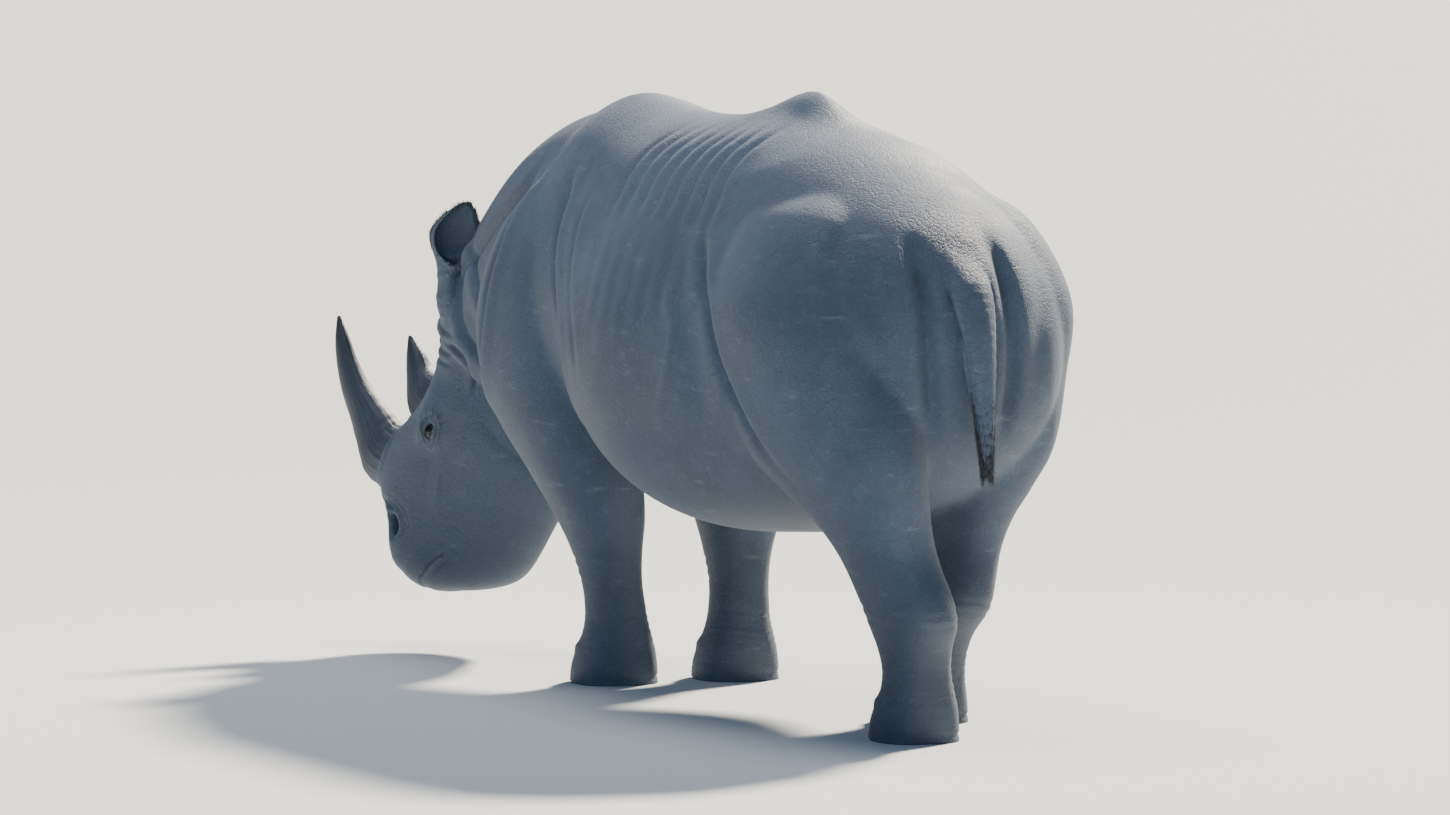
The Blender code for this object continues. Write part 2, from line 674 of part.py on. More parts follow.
def main():
    body = build_body()
    horns = [horn("horn_front", FRONT_HORN), horn("horn_rear", REAR_HORN)]
    eyes = [eye("eye_left", 1), eye("eye_right", -1)]
    ears = [ear("ear_left", 1), ear("ear_right", -1)]
    head_seats = [swollen(piece, f"{piece.name}_seat") for piece in horns + eyes + ears]
    tail_seat = swollen(tail(), "tail_seat")

    snug = {name: leg_region(name, 0.0) for name in LEGS}
    wide = {name: leg_region(name, GAP) for name in LEGS}
    for name, region in snug.items():
        build_leg(name, body, region)
    fore = [wide["front_left"], wide["front_right"]]
    flesh("trunk", body, outside=[neck_region(GAP), *wide.values(), tail_seat])
    ear_seats = head_seats[4:]
    flesh("neck", body, inside=[neck_region(0.0)], outside=[head_region(GAP), *fore, *ear_seats])
    flesh("head", body, inside=[head_region(0.0)], outside=[jaw_region(GAP), *fore, *head_seats])
    flesh("lower_jaw", body, inside=[head_region(0.0), jaw_region(0.0)])
    bpy.data.objects.remove(body, do_unlink=True)

    corners = np.array([v.co[:] for o in PARTS.objects for v in o.data.vertices])
    middle = (corners.min(axis=0) + corners.max(axis=0)) / 2
    move = Matrix.Translation((-middle[0], -middle[1], 0.0))
    for mesh in bpy.data.meshes:
        mesh.transform(move)


main()
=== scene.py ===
"""Finish of a life-size white rhinoceros: one skin over the solids of flesh, horns, nails, eyes and hair.

The skin is lofted through the same sections as the solids, joined by a fine voxel remesh and then worked
over with folds, lids, lips and nostrils, each a height laid along the surface normal.
All lengths are in metres, in the frame of the solids: the animal faces -Y and its left side is +X.
"""

import math

import bmesh
import bpy
import numpy as np
from mathutils import Matrix, Vector


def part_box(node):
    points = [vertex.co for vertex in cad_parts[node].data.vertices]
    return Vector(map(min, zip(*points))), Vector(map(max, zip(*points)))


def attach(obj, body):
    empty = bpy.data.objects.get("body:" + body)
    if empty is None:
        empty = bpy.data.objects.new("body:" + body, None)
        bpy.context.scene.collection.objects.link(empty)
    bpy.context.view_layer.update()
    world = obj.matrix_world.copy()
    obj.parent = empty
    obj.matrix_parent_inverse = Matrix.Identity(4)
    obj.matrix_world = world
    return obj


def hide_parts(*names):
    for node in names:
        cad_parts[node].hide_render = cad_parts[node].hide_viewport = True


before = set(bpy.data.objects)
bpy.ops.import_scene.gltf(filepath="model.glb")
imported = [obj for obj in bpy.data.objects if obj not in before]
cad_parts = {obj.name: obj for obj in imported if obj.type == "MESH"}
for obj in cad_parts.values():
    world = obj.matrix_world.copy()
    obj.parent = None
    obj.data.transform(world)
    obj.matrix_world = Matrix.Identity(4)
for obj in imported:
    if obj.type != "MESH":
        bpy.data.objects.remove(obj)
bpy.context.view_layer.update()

# ---------------------------------------------------------------- sizes
SKIN_VOXEL = 0.0085  # grid of the remesh that joins the limbs into one skin
SKIN_RELAX = 34  # steps of relaxing that round the joins
ROOT_RELAX = 14  # further steps at the roots of the ears and the tail
TAIL_RELAX = 30  # and at the tail's alone
SKIN_TRIANGLES = 180000
BODY_SIDES, BODY_STEPS = 72, 10  # points round each ring of trunk, neck and head, rings per section
LEG_SIDES, LEG_STEPS = 56, 8

CREST_HEIGHT = 0.066  # of the narrow crest of the spine over the croup
CREST_PLACE = 0.32  # of its peak along the body
CREST_REACH = (0.26, 0.13)  # how far it runs before and behind its peak
CREST_WIDTH = 0.065
CREST_FOOT = 1.3  # level above which the crest is raised

HEAD_PITCH = 62.0  # degrees that the head's long axis points below the horizon
HEAD_YAW = 30.0  # degrees that the head is turned to the animal's left
POLL = np.array([0.13, -1.68, 1.255])
EYE_RADIUS = 0.026
EYE_HALF_LENGTH = 0.025  # of the opening between the lids
EYE_HALF_HEIGHT = 0.0135
EYE_TILT = -12.0  # degrees of the opening from the skull's long axis
LID_THICKNESS = 0.0045
FACE_SIDE = 0.06  # how far from the skull's middle the folds of the eyes begin
MUZZLE_SIDE = 0.05  # and those of the nostrils
EYE_PLACE = np.array([0.160, -0.545, -0.170])  # on the head: left, towards the poll, out of the brow
EAR_PLACE = np.array([0.155, -0.152, -0.078])
EAR_LENGTH = 0.322
EAR_LEAN = 0.16
EAR_TURN = 56.0
EAR_TIP_SHIFT = 0.046
HORN_SIDES = 144  # points round each ring of a horn
NOSTRIL_PLACE = (0.885, -0.165)  # down the skull and out of the brow
NOSTRIL_TILT = -38.0
NOSTRIL_HALF_LENGTH = 0.034
NOSTRIL_HALF_HEIGHT = 0.0145
NOSTRIL_CURL = 6.0  # how strongly the comma of the nostril bends
NAIL_ANGLES = (-54.0, 0.0, 54.0)
NAIL_HALF_WIDTHS = (0.036, 0.052, 0.036)
NAIL_HEIGHT = 0.082
NAIL_STAND = 0.010
NAIL_LIFT = 0.006
NAIL_FRONT = 0.022  # from the middle of the nail's plate to its front face
NAIL_BACK = 0.020
TOE_GROOVES = (-27.0, 27.0)
FOOT_RADIUS = 0.12

PLATE_SIZE = 0.015  # of the plates that cracks divide the hide into
GRAIN_SIZE = 0.006  # real grains are 2 mm; these are as fine as shows
CREASE_SIZE = 0.060
MOTTLE = 2.3  # broad patches in a metre of hide: 430 mm each
BLOTCH = 11.0  # 90 mm
SPECKLE = 60.0  # 17 mm: real grit is finer, and this is as fine as shows
STREAK = 7.0  # dust, 140 mm long and 30 mm high
WAVER = 9.0  # bends of the cracks, 110 mm
HORN_FIBRES = 26.0  # in a half width of the horn, where one is 3 mm
HORN_STAINS = 2.4
NAIL_RINGS = 24.0  # and seven times as many up the nail, where one is 6 mm
NAIL_WEAR = 45.0  # 22 mm
IRIS_RAYS = 14.0  # in a radius of the ball
HAIR_TONES = 180.0  # 6 mm

FRINGE_HAIRS = 900
TAIL_HAIRS = 1100
LASH_HAIRS = 70
FINE_HAIR = 0.0006  # radius at the root
BRISTLE = 0.0010
HAIR_SHARES = np.array([0.0, 0.35, 0.7, 0.97])  # where along a hair its rings lie

CAMERA_PLACE = np.array([9.396, 18.976, 2.15])
CAMERA_SIDE = 26.0  # degrees from straight behind the animal towards its left
CAMERA_DOWN = 3.508
CAMERA_LENS = 181.2  # millimetres, as is the sensor
CAMERA_SENSOR = 36.0
LAMP_AIM = np.array([0.0, 0.3, 0.9])
FLOOR_REACH = 500.0
AIR_COLOUR = "#aac5e6"
AIR_STRENGTH = 0.28
LAMPS = [
    # name, kind, place as metres away from the camera, to its right and up, width (degrees for the
    # far one, metres for the near ones), strength, colour
    ("key_lamp", "SUN", (6.0, 3.6, 6.4), 7.0, 13.5, "#fff4e4"),
    ("top_lamp", "AREA", (1.6, -1.0, 8.0), 4.0, 420, "#f2f4f8"),
    ("fill_lamp", "AREA", (-10.0, -3.0, 4.5), 7.0, 220, "#b4d0f6"),
]

# ---------------------------------------------------------------- sections of the body
TRUNK = [
    # y, top, widest level, bottom, half width, exponents of back and belly
    (1.275, 1.10, 1.03, 0.94, 0.08, 2.0, 2.0),
    (1.25, 1.21, 1.05, 0.84, 0.20, 2.0, 2.0),
    (1.19, 1.33, 1.06, 0.75, 0.30, 2.1, 2.2),
    (1.09, 1.44, 1.08, 0.68, 0.38, 2.1, 2.2),
    (0.95, 1.535, 1.08, 0.62, 0.44, 2.0, 2.2),
    (0.74, 1.628, 1.06, 0.56, 0.475, 2.1, 2.2),
    (0.54, 1.672, 1.03, 0.53, 0.50, 2.1, 2.2),
    (0.30, 1.715, 1.00, 0.51, 0.54, 1.85, 2.2),
    (0.05, 1.708, 0.98, 0.50, 0.570, 1.8, 2.2),
    (-0.20, 1.70, 1.01, 0.535, 0.545, 1.9, 2.1),
    (-0.50, 1.71, 1.14, 0.605, 0.462, 1.9, 1.9),
    (-0.82, 1.755, 1.14, 0.66, 0.425, 1.75, 2.0),
    (-1.02, 1.69, 1.10, 0.72, 0.36, 1.8, 2.2),
    (-1.20, 1.54, 1.12, 0.80, 0.24, 2.0, 2.2),
]
NECK = [
    # x, y, z, pitch, yaw, half width, up, down, exponents
    (0.00, -0.70, 1.16, 0, 0, 0.40, 0.53, 0.46, 1.9, 2.2),
    (0.00, -0.98, 1.16, 8, 3, 0.35, 0.545, 0.46, 1.9, 2.2),
    (0.03, -1.20, 1.11, 20, 8, 0.30, 0.51, 0.42, 1.9, 2.2),
    (0.07, -1.38, 1.04, 34, 15, 0.235, 0.41, 0.37, 2.0, 2.2),
    (0.11, -1.52, 0.97, 46, 22, 0.195, 0.30, 0.33, 2.1, 2.2),
    (0.15, -1.62, 0.91, 55, 27, 0.17, 0.22, 0.28, 2.1, 2.2),
]
HEAD = [
    # distance from the poll, brow, widest level, jaw, half width, exponents
    (-0.06, -0.07, -0.18, -0.30, 0.10, 2.2, 2.2),
    (-0.01, -0.01, -0.16, -0.42, 0.150, 2.3, 2.2),
    (0.10, 0.02, -0.14, -0.50, 0.175, 2.3, 2.1),
    (0.24, 0.01, -0.14, -0.565, 0.180, 2.2, 2.0),
    (0.38, -0.03, -0.16, -0.605, 0.180, 2.1, 2.0),
    (0.52, -0.03, -0.17, -0.620, 0.180, 2.1, 2.0),
    (0.64, 0.02, -0.17, -0.610, 0.158, 2.1, 2.0),
    (0.75, 0.05, -0.17, -0.600, 0.142, 2.2, 2.2),
    (0.83, 0.02, -0.19, -0.582, 0.138, 2.2, 2.5),
    (0.89, -0.065, -0.22, -0.545, 0.140, 2.4, 2.8),
    (0.95, -0.115, -0.25, -0.475, 0.144, 2.7, 2.9),
    (1.00, -0.150, -0.265, -0.392, 0.130, 2.8, 2.8),
    (1.03, -0.190, -0.275, -0.335, 0.080, 2.6, 2.6),
]
FORE_LEG = [
    # z, x, y, half width, front, back, exponent
    (1.56, 0.16, -0.80, 0.07, 0.12, 0.14, 2.0),
    (1.42, 0.26, -0.85, 0.12, 0.21, 0.23, 2.1),
    (1.22, 0.32, -0.87, 0.15, 0.26, 0.27, 2.2),
    (1.00, 0.335, -0.86, 0.165, 0.27, 0.28, 2.2),
    (0.80, 0.31, -0.82, 0.174, 0.265, 0.25, 2.2),
    (0.64, 0.27, -0.77, 0.158, 0.235, 0.18, 2.2),
    (0.50, 0.24, -0.76, 0.127, 0.180, 0.135, 2.2),
    (0.40, 0.23, -0.77, 0.103, 0.108, 0.112, 2.3),
    (0.30, 0.225, -0.770, 0.088, 0.082, 0.100, 2.2),
    (0.19, 0.22, -0.775, 0.093, 0.095, 0.098, 2.2),
    (0.11, 0.22, -0.79, 0.112, 0.118, 0.110, 2.3),
    (0.04, 0.22, -0.80, 0.125, 0.135, 0.118, 2.3),
    (-0.04, 0.22, -0.80, 0.125, 0.135, 0.118, 2.3),
]
HIND_LEG = [
    (1.52, 0.18, 0.70, 0.08, 0.12, 0.16, 2.0),
    (1.42, 0.255, 0.73, 0.15, 0.24, 0.27, 2.1),
    (1.20, 0.30, 0.76, 0.195, 0.33, 0.36, 2.2),
    (0.98, 0.30, 0.76, 0.205, 0.37, 0.39, 2.2),
    (0.80, 0.29, 0.77, 0.195, 0.33, 0.41, 2.2),
    (0.68, 0.27, 0.81, 0.16, 0.26, 0.345, 2.2),
    (0.59, 0.25, 0.86, 0.130, 0.20, 0.26, 2.2),
    (0.50, 0.235, 0.90, 0.115, 0.165, 0.21, 2.2),
    (0.40, 0.22, 0.93, 0.112, 0.150, 0.205, 2.2),
    (0.33, 0.215, 0.94, 0.106, 0.135, 0.190, 2.2),
    (0.25, 0.21, 0.94, 0.094, 0.108, 0.125, 2.2),
    (0.18, 0.21, 0.94, 0.093, 0.100, 0.102, 2.2),
    (0.11, 0.21, 0.93, 0.106, 0.118, 0.105, 2.3),
    (0.04, 0.21, 0.92, 0.118, 0.138, 0.112, 2.3),
    (-0.04, 0.21, 0.92, 0.118, 0.138, 0.112, 2.3),
]
LEGS = {
    # sections, side, how far the foot is moved to the left and forwards, bow to the back, pivot
    "front_left": (FORE_LEG, 1, -0.03, -0.155, 0.0, 1.0),
    "front_right": (FORE_LEG, -1, 0.03, -0.20, 0.0, 1.0),
    "hind_left": (HIND_LEG, 1, -0.075, -0.27, 0.04, 1.2),
    "hind_right": (HIND_LEG, -1, 0.085, 0.17, 0.0, 1.2),
}
FOOT_TOP = 0.12
TAIL = [
    # y, z, degrees below the horizon, half width, half depth
    (0.96, 1.410, 24, 0.056, 0.046),
    (1.06, 1.372, 36, 0.064, 0.048),
    (1.15, 1.312, 50, 0.070, 0.048),
    (1.232, 1.225, 63, 0.066, 0.045),
    (1.290, 1.110, 74, 0.047, 0.036),
    (1.322, 0.960, 80, 0.034, 0.028),
    (1.340, 0.840, 84, 0.023, 0.020),
    (1.350, 0.740, 86, 0.009, 0.010),
]
EAR = [
    # share of the length, half width, half depth, how far out towards the mouth
    (-0.16, 0.064, 0.050, 0.0),
    (0.00, 0.073, 0.052, 0.0),
    (0.10, 0.075, 0.050, 0.0),
    (0.24, 0.065, 0.045, 0.0),
    (0.42, 0.062, 0.044, 0.0),
    (0.60, 0.073, 0.044, 0.0),
    (0.76, 0.076, 0.038, 0.0),
    (0.90, 0.050, 0.024, 0.0),
    (1.00, 0.016, 0.008, 0.0),
]
EAR_HOLLOW = [
    (0.38, 0.018, 0.014, 0.020),
    (0.48, 0.042, 0.027, 0.026),
    (0.62, 0.060, 0.035, 0.027),
    (0.77, 0.060, 0.031, 0.024),
    (0.90, 0.038, 0.022, 0.020),
    (1.02, 0.008, 0.010, 0.010),
]
FRONT_HORN = [
    # distance down the skull, height off it, lean of the ring, half width, front, back
    (0.758, -0.045, 90, 0.088, 0.100, 0.108),
    (0.758, 0.010, 88, 0.087, 0.102, 0.106),
    (0.754, 0.066, 83, 0.079, 0.098, 0.098),
    (0.722, 0.124, 72, 0.062, 0.076, 0.080),
    (0.683, 0.186, 62, 0.049, 0.059, 0.060),
    (0.640, 0.256, 55, 0.040, 0.047, 0.046),
    (0.585, 0.321, 47, 0.031, 0.035, 0.034),
    (0.530, 0.371, 42, 0.021, 0.024, 0.023),
    (0.474, 0.416, 38, 0.005, 0.006, 0.006),
]
REAR_HORN = [
    (0.526, -0.095, 90, 0.070, 0.094, 0.092),
    (0.525, -0.030, 89, 0.069, 0.092, 0.088),
    (0.516, 0.012, 80, 0.062, 0.080, 0.076),
    (0.480, 0.054, 64, 0.045, 0.050, 0.048),
    (0.437, 0.099, 52, 0.028, 0.029, 0.032),
    (0.392, 0.145, 45, 0.005, 0.006, 0.006),
]


# ---------------------------------------------------------------- shapes as arrays
def spline(rows, steps):
    """Catmull-Rom: cubic spans through the rows, each with the slope of its neighbours' chord."""
    rows = np.asarray(rows, float)
    padded = np.vstack([2 * rows[0] - rows[1], rows, 2 * rows[-1] - rows[-2]])
    share = np.linspace(0, 1, steps, endpoint=False)[None, :, None]
    a, b, c, d = (padded[k : k + len(rows) - 1][:, None, :] for k in range(4))
    bend = (2 * a - 5 * b + 4 * c - d) * share**2 + (3 * b - a - 3 * c + d) * share**3
    spans = 0.5 * (2 * b + (c - a) * share + bend)
    return np.vstack([spans.reshape(-1, rows.shape[1]), rows[-1:]])


def rings(rows, sides, steps):
    """Superellipse rings: x = w cos(t)^(2/n), z = h sin(t)^(2/n), tilted by pitch and yaw, at each
    row of x, y, z, pitch, yaw, half width, up, down, exponent up, exponent down."""
    table = spline(rows, steps)
    x, y, z, pitch, yaw, half, up, down, n_up, n_down = (table[:, k, None] for k in range(10))
    turn = np.linspace(0, 2 * math.pi, sides, endpoint=False)[None, :]
    top = np.sin(turn) >= 0
    power = 2.0 / np.where(top, n_up, n_down)
    across = half * np.sign(np.cos(turn)) * np.abs(np.cos(turn)) ** power
    along = np.where(top, up, down) * np.sign(np.sin(turn)) * np.abs(np.sin(turn)) ** power
    p, w = np.radians(pitch), np.radians(yaw)
    return np.stack(
        [
            x + across * np.cos(w) + along * np.sin(p) * np.sin(w),
            y + across * np.sin(w) - along * np.sin(p) * np.cos(w),
            z + along * np.cos(p),
        ],
        axis=-1,
    )


def ring_quads(count, sides):
    """Quads between neighbouring rings of a tube, as rows of point numbers."""
    ids = np.arange(count * sides).reshape(count, sides)
    ahead = np.roll(ids, -1, axis=1)
    return np.stack([ids[:-1], ahead[:-1], ahead[1:], ids[1:]], axis=-1).reshape(-1, 4)


def signed_volume(points, quads):
    """Sum of the tetrahedra from the origin to the two triangles of each quad."""
    a, b, c, d = (points[quads[:, k]] for k in range(4))
    return np.einsum("ij,ij->", a, np.cross(b, c)) + np.einsum("ij,ij->", a, np.cross(c, d))


def closed_tube(loops):
    """Points and faces of a tube through loops, capped at both ends and facing outwards."""
    count, sides = loops.shape[:2]
    points, quads = loops.reshape(-1, 3), ring_quads(count, sides)
    caps = [tuple(range(sides))[::-1], tuple(range((count - 1) * sides, count * sides))]
    faces = [tuple(quad) for quad in quads.tolist()] + caps
    if signed_volume(points - points.mean(axis=0), quads) < 0:
        faces = [face[::-1] for face in faces]
    return points, faces


def merged(shapes):
    """Several shapes of points and faces as one."""
    points, faces, start = [], [], 0
    for shape_points, shape_faces in shapes:
        points.append(shape_points)
        faces += [tuple(i + start for i in face) for face in shape_faces]
        start += len(shape_points)
    return np.vstack(points), faces


def add_shape(name, points, faces):
    """A new smooth object at the origin."""
    mesh = bpy.data.meshes.new(name)
    mesh.from_pydata(np.asarray(points, float).tolist(), [], faces)
    mesh.update()
    mesh.shade_smooth()
    made = bpy.data.objects.new(name, mesh)
    bpy.context.scene.collection.objects.link(made)
    return made


def with_modifiers(obj):
    """The object's mesh after its modifiers, which are then removed."""
    graph = bpy.context.evaluated_depsgraph_get()
    mesh = bpy.data.meshes.new_from_object(obj.evaluated_get(graph))
    obj.modifiers.clear()
    obj.data = mesh
    return mesh


def vectors_of(items, key):
    flat = np.empty(3 * len(items), np.float32)
    items.foreach_get(key, flat)
    return flat.reshape(-1, 3).astype(float)


def coordinates(mesh):
    return vectors_of(mesh.vertices, "co")


def directions(mesh):
    return vectors_of(mesh.vertex_normals, "vector")


def place_points(mesh, points):
    mesh.vertices.foreach_set("co", np.asarray(points, np.float32).ravel())
    mesh.update()


def store(mesh, name, values):
    """Keeps a number or a vector at each point of the mesh, under a name that its material reads."""
    values = np.asarray(values, np.float32)
    kind, key = ("FLOAT", "value") if values.ndim == 1 else ("FLOAT_VECTOR", "vector")
    mesh.attributes.new(name, kind, "POINT").data.foreach_set(key, values.ravel())


def neighbours(mesh):
    """The two ends of every edge, and how many neighbours each point has."""
    ends = np.empty(2 * len(mesh.edges), np.int32)
    mesh.edges.foreach_get("vertices", ends)
    start, stop = ends.reshape(-1, 2).T
    return start, stop, np.maximum(np.bincount(ends, minlength=len(mesh.vertices)), 1)


def gathered(start, stop, to_start, to_stop, count):
    """What the edges bring to each of count points: to_start at their first end, to_stop at their last."""
    return np.bincount(start, to_start, count) + np.bincount(stop, to_stop, count)


# ---------------------------------------------------------------- the head's own frame
def turned(angle, axis):
    return np.array(Matrix.Rotation(math.radians(angle), 3, axis))


HEAD_TURN = turned(HEAD_YAW, "Z") @ turned(HEAD_PITCH, "X")


def from_head(points):
    return np.asarray(points) @ HEAD_TURN.T + POLL


def to_head(points):
    """x to the head's left, d down the skull, h out of the brow."""
    local = (np.asarray(points) - POLL) @ HEAD_TURN
    return local[..., 0], -local[..., 1], local[..., 2]


def box_middle(node):
    low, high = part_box(node)
    return np.array((low + high) / 2)


SHIFT = box_middle("eye_left") - from_head(EYE_PLACE)
SHIFT[2] = 0.0


# ---------------------------------------------------------------- fields laid over the skin
def ramp(value, low, high):
    """0 below low, 1 above high, smooth between: 3t^2 - 2t^3."""
    t = np.clip((value - low) / (high - low), 0, 1)
    return t * t * (3 - 2 * t)


def bell(value, centre, width):
    return np.exp(-(((value - centre) / width) ** 2))


def near_curve(points, curve, reach):
    """For the points within reach of a polyline, in a plane or in space: their distance from it, their
    share of its length, the span that is nearest and the points' own numbers."""
    low, high = curve.min(axis=0) - reach, curve.max(axis=0) + reach
    near = np.flatnonzero(np.all((points > low) & (points < high), axis=1))
    step = np.diff(curve, axis=0)
    rel = points[near][:, None, :] - curve[None, :-1]
    share = np.clip((rel * step).sum(-1) / (step**2).sum(-1), 0, 1)
    span = np.linalg.norm(rel - share[..., None] * step, axis=-1)
    best = span.argmin(axis=1)
    pick = np.arange(len(near))
    return span[pick, best], (best + share[pick, best]) / len(step), best, near


def beside_line(u, v, line, reach):
    """For points near a smooth line in a plane: their signed distance from it, positive on its left,
    their share of its length and their numbers."""
    path, spots = spline(line, 14), np.stack([u, v], axis=1)
    span, share, best, near = near_curve(spots, path, reach)
    step, rel = np.diff(path, axis=0)[best], spots[near] - path[best]
    return np.sign(step[:, 0] * rel[:, 1] - step[:, 1] * rel[:, 0]) * span, share, near


def fading(share, taper):
    """1 along a line, and down to 0 within taper of each end."""
    return ramp(share, 0, taper) * ramp(1 - share, 0, taper)


def tilted(u, v, degrees):
    """Offsets u and v measured along axes that are turned by some degrees."""
    c, s = math.cos(math.radians(degrees)), math.sin(math.radians(degrees))
    return u * c + v * s, v * c - u * s


class Skin:
    """Heights gathered over the skin's points before they are laid along the normals."""

    def __init__(self, points, normals):
        self.p, self.n = points, normals
        self.height = np.zeros(len(points))
        self.hx, self.hd, self.hh = to_head(points)
        self.head_n = normals @ HEAD_TURN

    def carve(self, s, near, force, width, depth, lip):
        """A groove -depth exp(-(s / width)^2) at distance s from a line, and a swelling of height lip
        on its left, centred 2.2 widths away and 1.6 widths broad."""
        swell, groove = bell(s, 2.2 * width, 1.6 * width), bell(s, 0, width)
        self.height[near] += force * (lip * swell - depth * groove)

    def fold(self, u, v, line, width, depth, lip=0.0, weight=1.0, taper=0.2):
        """A groove along a line drawn in a plane, fading to nothing at the line's ends."""
        s, share, near = beside_line(u, v, line, 5 * width)
        force = fading(share, taper) * (weight[near] if np.ndim(weight) else weight)
        self.carve(s, near, force, width, depth, lip)

    def fold3(self, line, width, depth, lip, taper):
        """The same groove along a line in space, measured across the skin."""
        curve, reach = spline(line, 10), 4.5 * width + 0.02
        span, share, best, near = near_curve(self.p, curve, reach)
        across = np.cross(np.diff(curve, axis=0)[best], self.n[near])
        across /= np.maximum(np.linalg.norm(across, axis=1), 1e-9)[:, None]
        s = np.einsum("ij,ij->i", self.p[near] - curve[best], across)
        self.carve(s, near, fading(share, taper) * ramp(reach - span, 0, 0.02), width, depth, lip)

    def lay(self):
        return self.p + self.n * self.height[:, None]


# ---------------------------------------------------------------- one skin for all the flesh
def leg_shift(name, z):
    """Below its pivot a leg moves with the foot, more so lower down: x and y shifts at a height."""
    _, _, left, forward, bow, pivot = LEGS[name]
    share = min(1.0, max(0.0, (pivot - z) / (pivot - FOOT_TOP)))
    return left * share, 4 * bow * share * (1 - share) - forward * share


def leg_rows(name):
    table, side, *_ = LEGS[name]
    rows = []
    for z, x, y, half, front, back, n in table:
        across, along = leg_shift(name, z)
        rows.append((side * x + across, y + along, z, 90, 0, half, front, back, n, n))
    return rows


def crested(loops):
    """Raises the spine over the croup by h exp(-(dy / reach)^2 - (x / width)^2)."""
    x, y, z = loops[..., 0], loops[..., 1], loops[..., 2]
    away = y - CREST_PLACE
    along = bell(away, 0, np.where(away > 0, CREST_REACH[1], CREST_REACH[0]))
    loops[..., 2] = z + CREST_HEIGHT * along * bell(x, 0, CREST_WIDTH) * (z > CREST_FOOT)
    return loops


def rough_skin():
    """Trunk, neck, head and legs as closed tubes, joined by a voxel remesh and relaxed."""
    trunk = [(0, y, w, 0, 0, half, top - w, w - low, nb, nd) for y, top, w, low, half, nb, nd in TRUNK]
    head = [(0, -d, w, 0, 0, half, brow - w, w - jaw, nb, nj) for d, brow, w, jaw, half, nb, nj in HEAD]
    trunk, neck, head = (rings(rows, BODY_SIDES, BODY_STEPS) for rows in (trunk, NECK, head))
    tubes = [crested(trunk), neck, from_head(head)]
    tubes += [rings(leg_rows(name), LEG_SIDES, LEG_STEPS) for name in LEGS]
    skin = add_shape("skin", *merged([closed_tube(tube) for tube in tubes]))
    remesh = skin.modifiers.new("join", "REMESH")
    remesh.mode = "VOXEL"
    remesh.voxel_size = SKIN_VOXEL
    relax = skin.modifiers.new("relax", "SMOOTH")
    relax.factor = 0.5
    relax.iterations = SKIN_RELAX
    with_modifiers(skin)
    return skin


def joined_by(solid, others, kind):
    """Adds or takes away closed meshes with the manifold Boolean."""
    for other in others:
        change = solid.modifiers.new("change", "BOOLEAN")
        change.solver = "MANIFOLD"
        change.operation = kind
        change.object = other
        with_modifiers(solid)
        bpy.data.objects.remove(other)


def relaxed(mesh, weight, steps):
    """Moves each point half way, times its weight, to the mean of its neighbours, steps times."""
    start, stop, degree = neighbours(mesh)
    points = coordinates(mesh)
    for _ in range(steps):
        sums = [gathered(start, stop, p[stop], p[start], len(points)) for p in points.T.copy()]
        points += 0.5 * weight[:, None] * (np.stack(sums, axis=1) / degree[:, None] - points)
    place_points(mesh, points)


def flat_soles(mesh):
    """Cuts the skin at the ground and closes each foot with a flat sole."""
    work = bmesh.new()
    work.from_mesh(mesh)
    cut = bmesh.ops.bisect_plane(
        work,
        geom=work.verts[:] + work.edges[:] + work.faces[:],
        plane_co=(0, 0, 0),
        plane_no=(0, 0, -1),
        clear_outer=True,
    )
    rim = [edge for edge in cut["geom_cut"] if isinstance(edge, bmesh.types.BMEdge)]
    sole = bmesh.ops.holes_fill(work, edges=rim)
    bmesh.ops.triangulate(work, faces=sole["faces"])
    work.to_mesh(mesh)
    work.free()
    mesh.update()


def refine(mesh, wanted):
    """Splits every edge whose two ends are both wanted."""
    work = bmesh.new()
    work.from_mesh(mesh)
    edges = [e for e in work.edges if wanted[e.verts[0].index] and wanted[e.verts[1].index]]
    bmesh.ops.subdivide_edges(work, edges=edges, cuts=1, use_grid_fill=True, smooth=0.0)
    work.to_mesh(mesh)
    work.free()
    mesh.update()


# ---------------------------------------------------------------- ears and tail
def ear_frame(side):
    """Root of the ear and the matrix whose columns run across it, out of its mouth and to its tip."""
    root = from_head([side * EAR_PLACE[0], EAR_PLACE[1], EAR_PLACE[2]])
    turn = math.radians(EAR_TURN)
    spin = turned(HEAD_YAW, "Z")
    mouth = spin @ np.array([side * math.sin(turn), math.cos(turn), 0.0])
    tip = spin @ np.array([side * EAR_LEAN, 0.0, 1.0])
    tip /= np.linalg.norm(tip)
    mouth -= tip * (mouth @ tip)
    mouth /= np.linalg.norm(mouth)
    return root, np.stack([np.cross(mouth, tip), mouth, tip], axis=1)


def ear_bend(side, share):
    """The upper half of the ear curls over to one side, as the cube of twice the share past half way."""
    return -side * EAR_TIP_SHIFT * np.maximum(0.0, 2 * share - 1) ** 3


def ear_shapes(side):
    """The ear as a closed cone of elliptical rings, rippled near its root, and the hollow of its cup."""
    root, axes = ear_frame(side)
    shapes = []
    for table, sides, ripple in ((EAR, 72, 0.035), (EAR_HOLLOW, 56, 0.0)):
        share, half, deep, out = spline(table, 9).T[:, :, None]
        turn = np.linspace(0, 2 * math.pi, sides, endpoint=False)[None, :]
        rib = 1 + ripple * np.sin(share * 62 + 0.8 * np.cos(turn)) * ramp(0.46 - share, 0, 0.16)
        x = ear_bend(side, share) + half * rib * np.cos(turn)
        loops = np.stack([x, out + deep * rib * np.sin(turn), share * EAR_LENGTH + 0 * turn], axis=-1)
        shapes.append(closed_tube(loops @ axes.T + root))
    return shapes


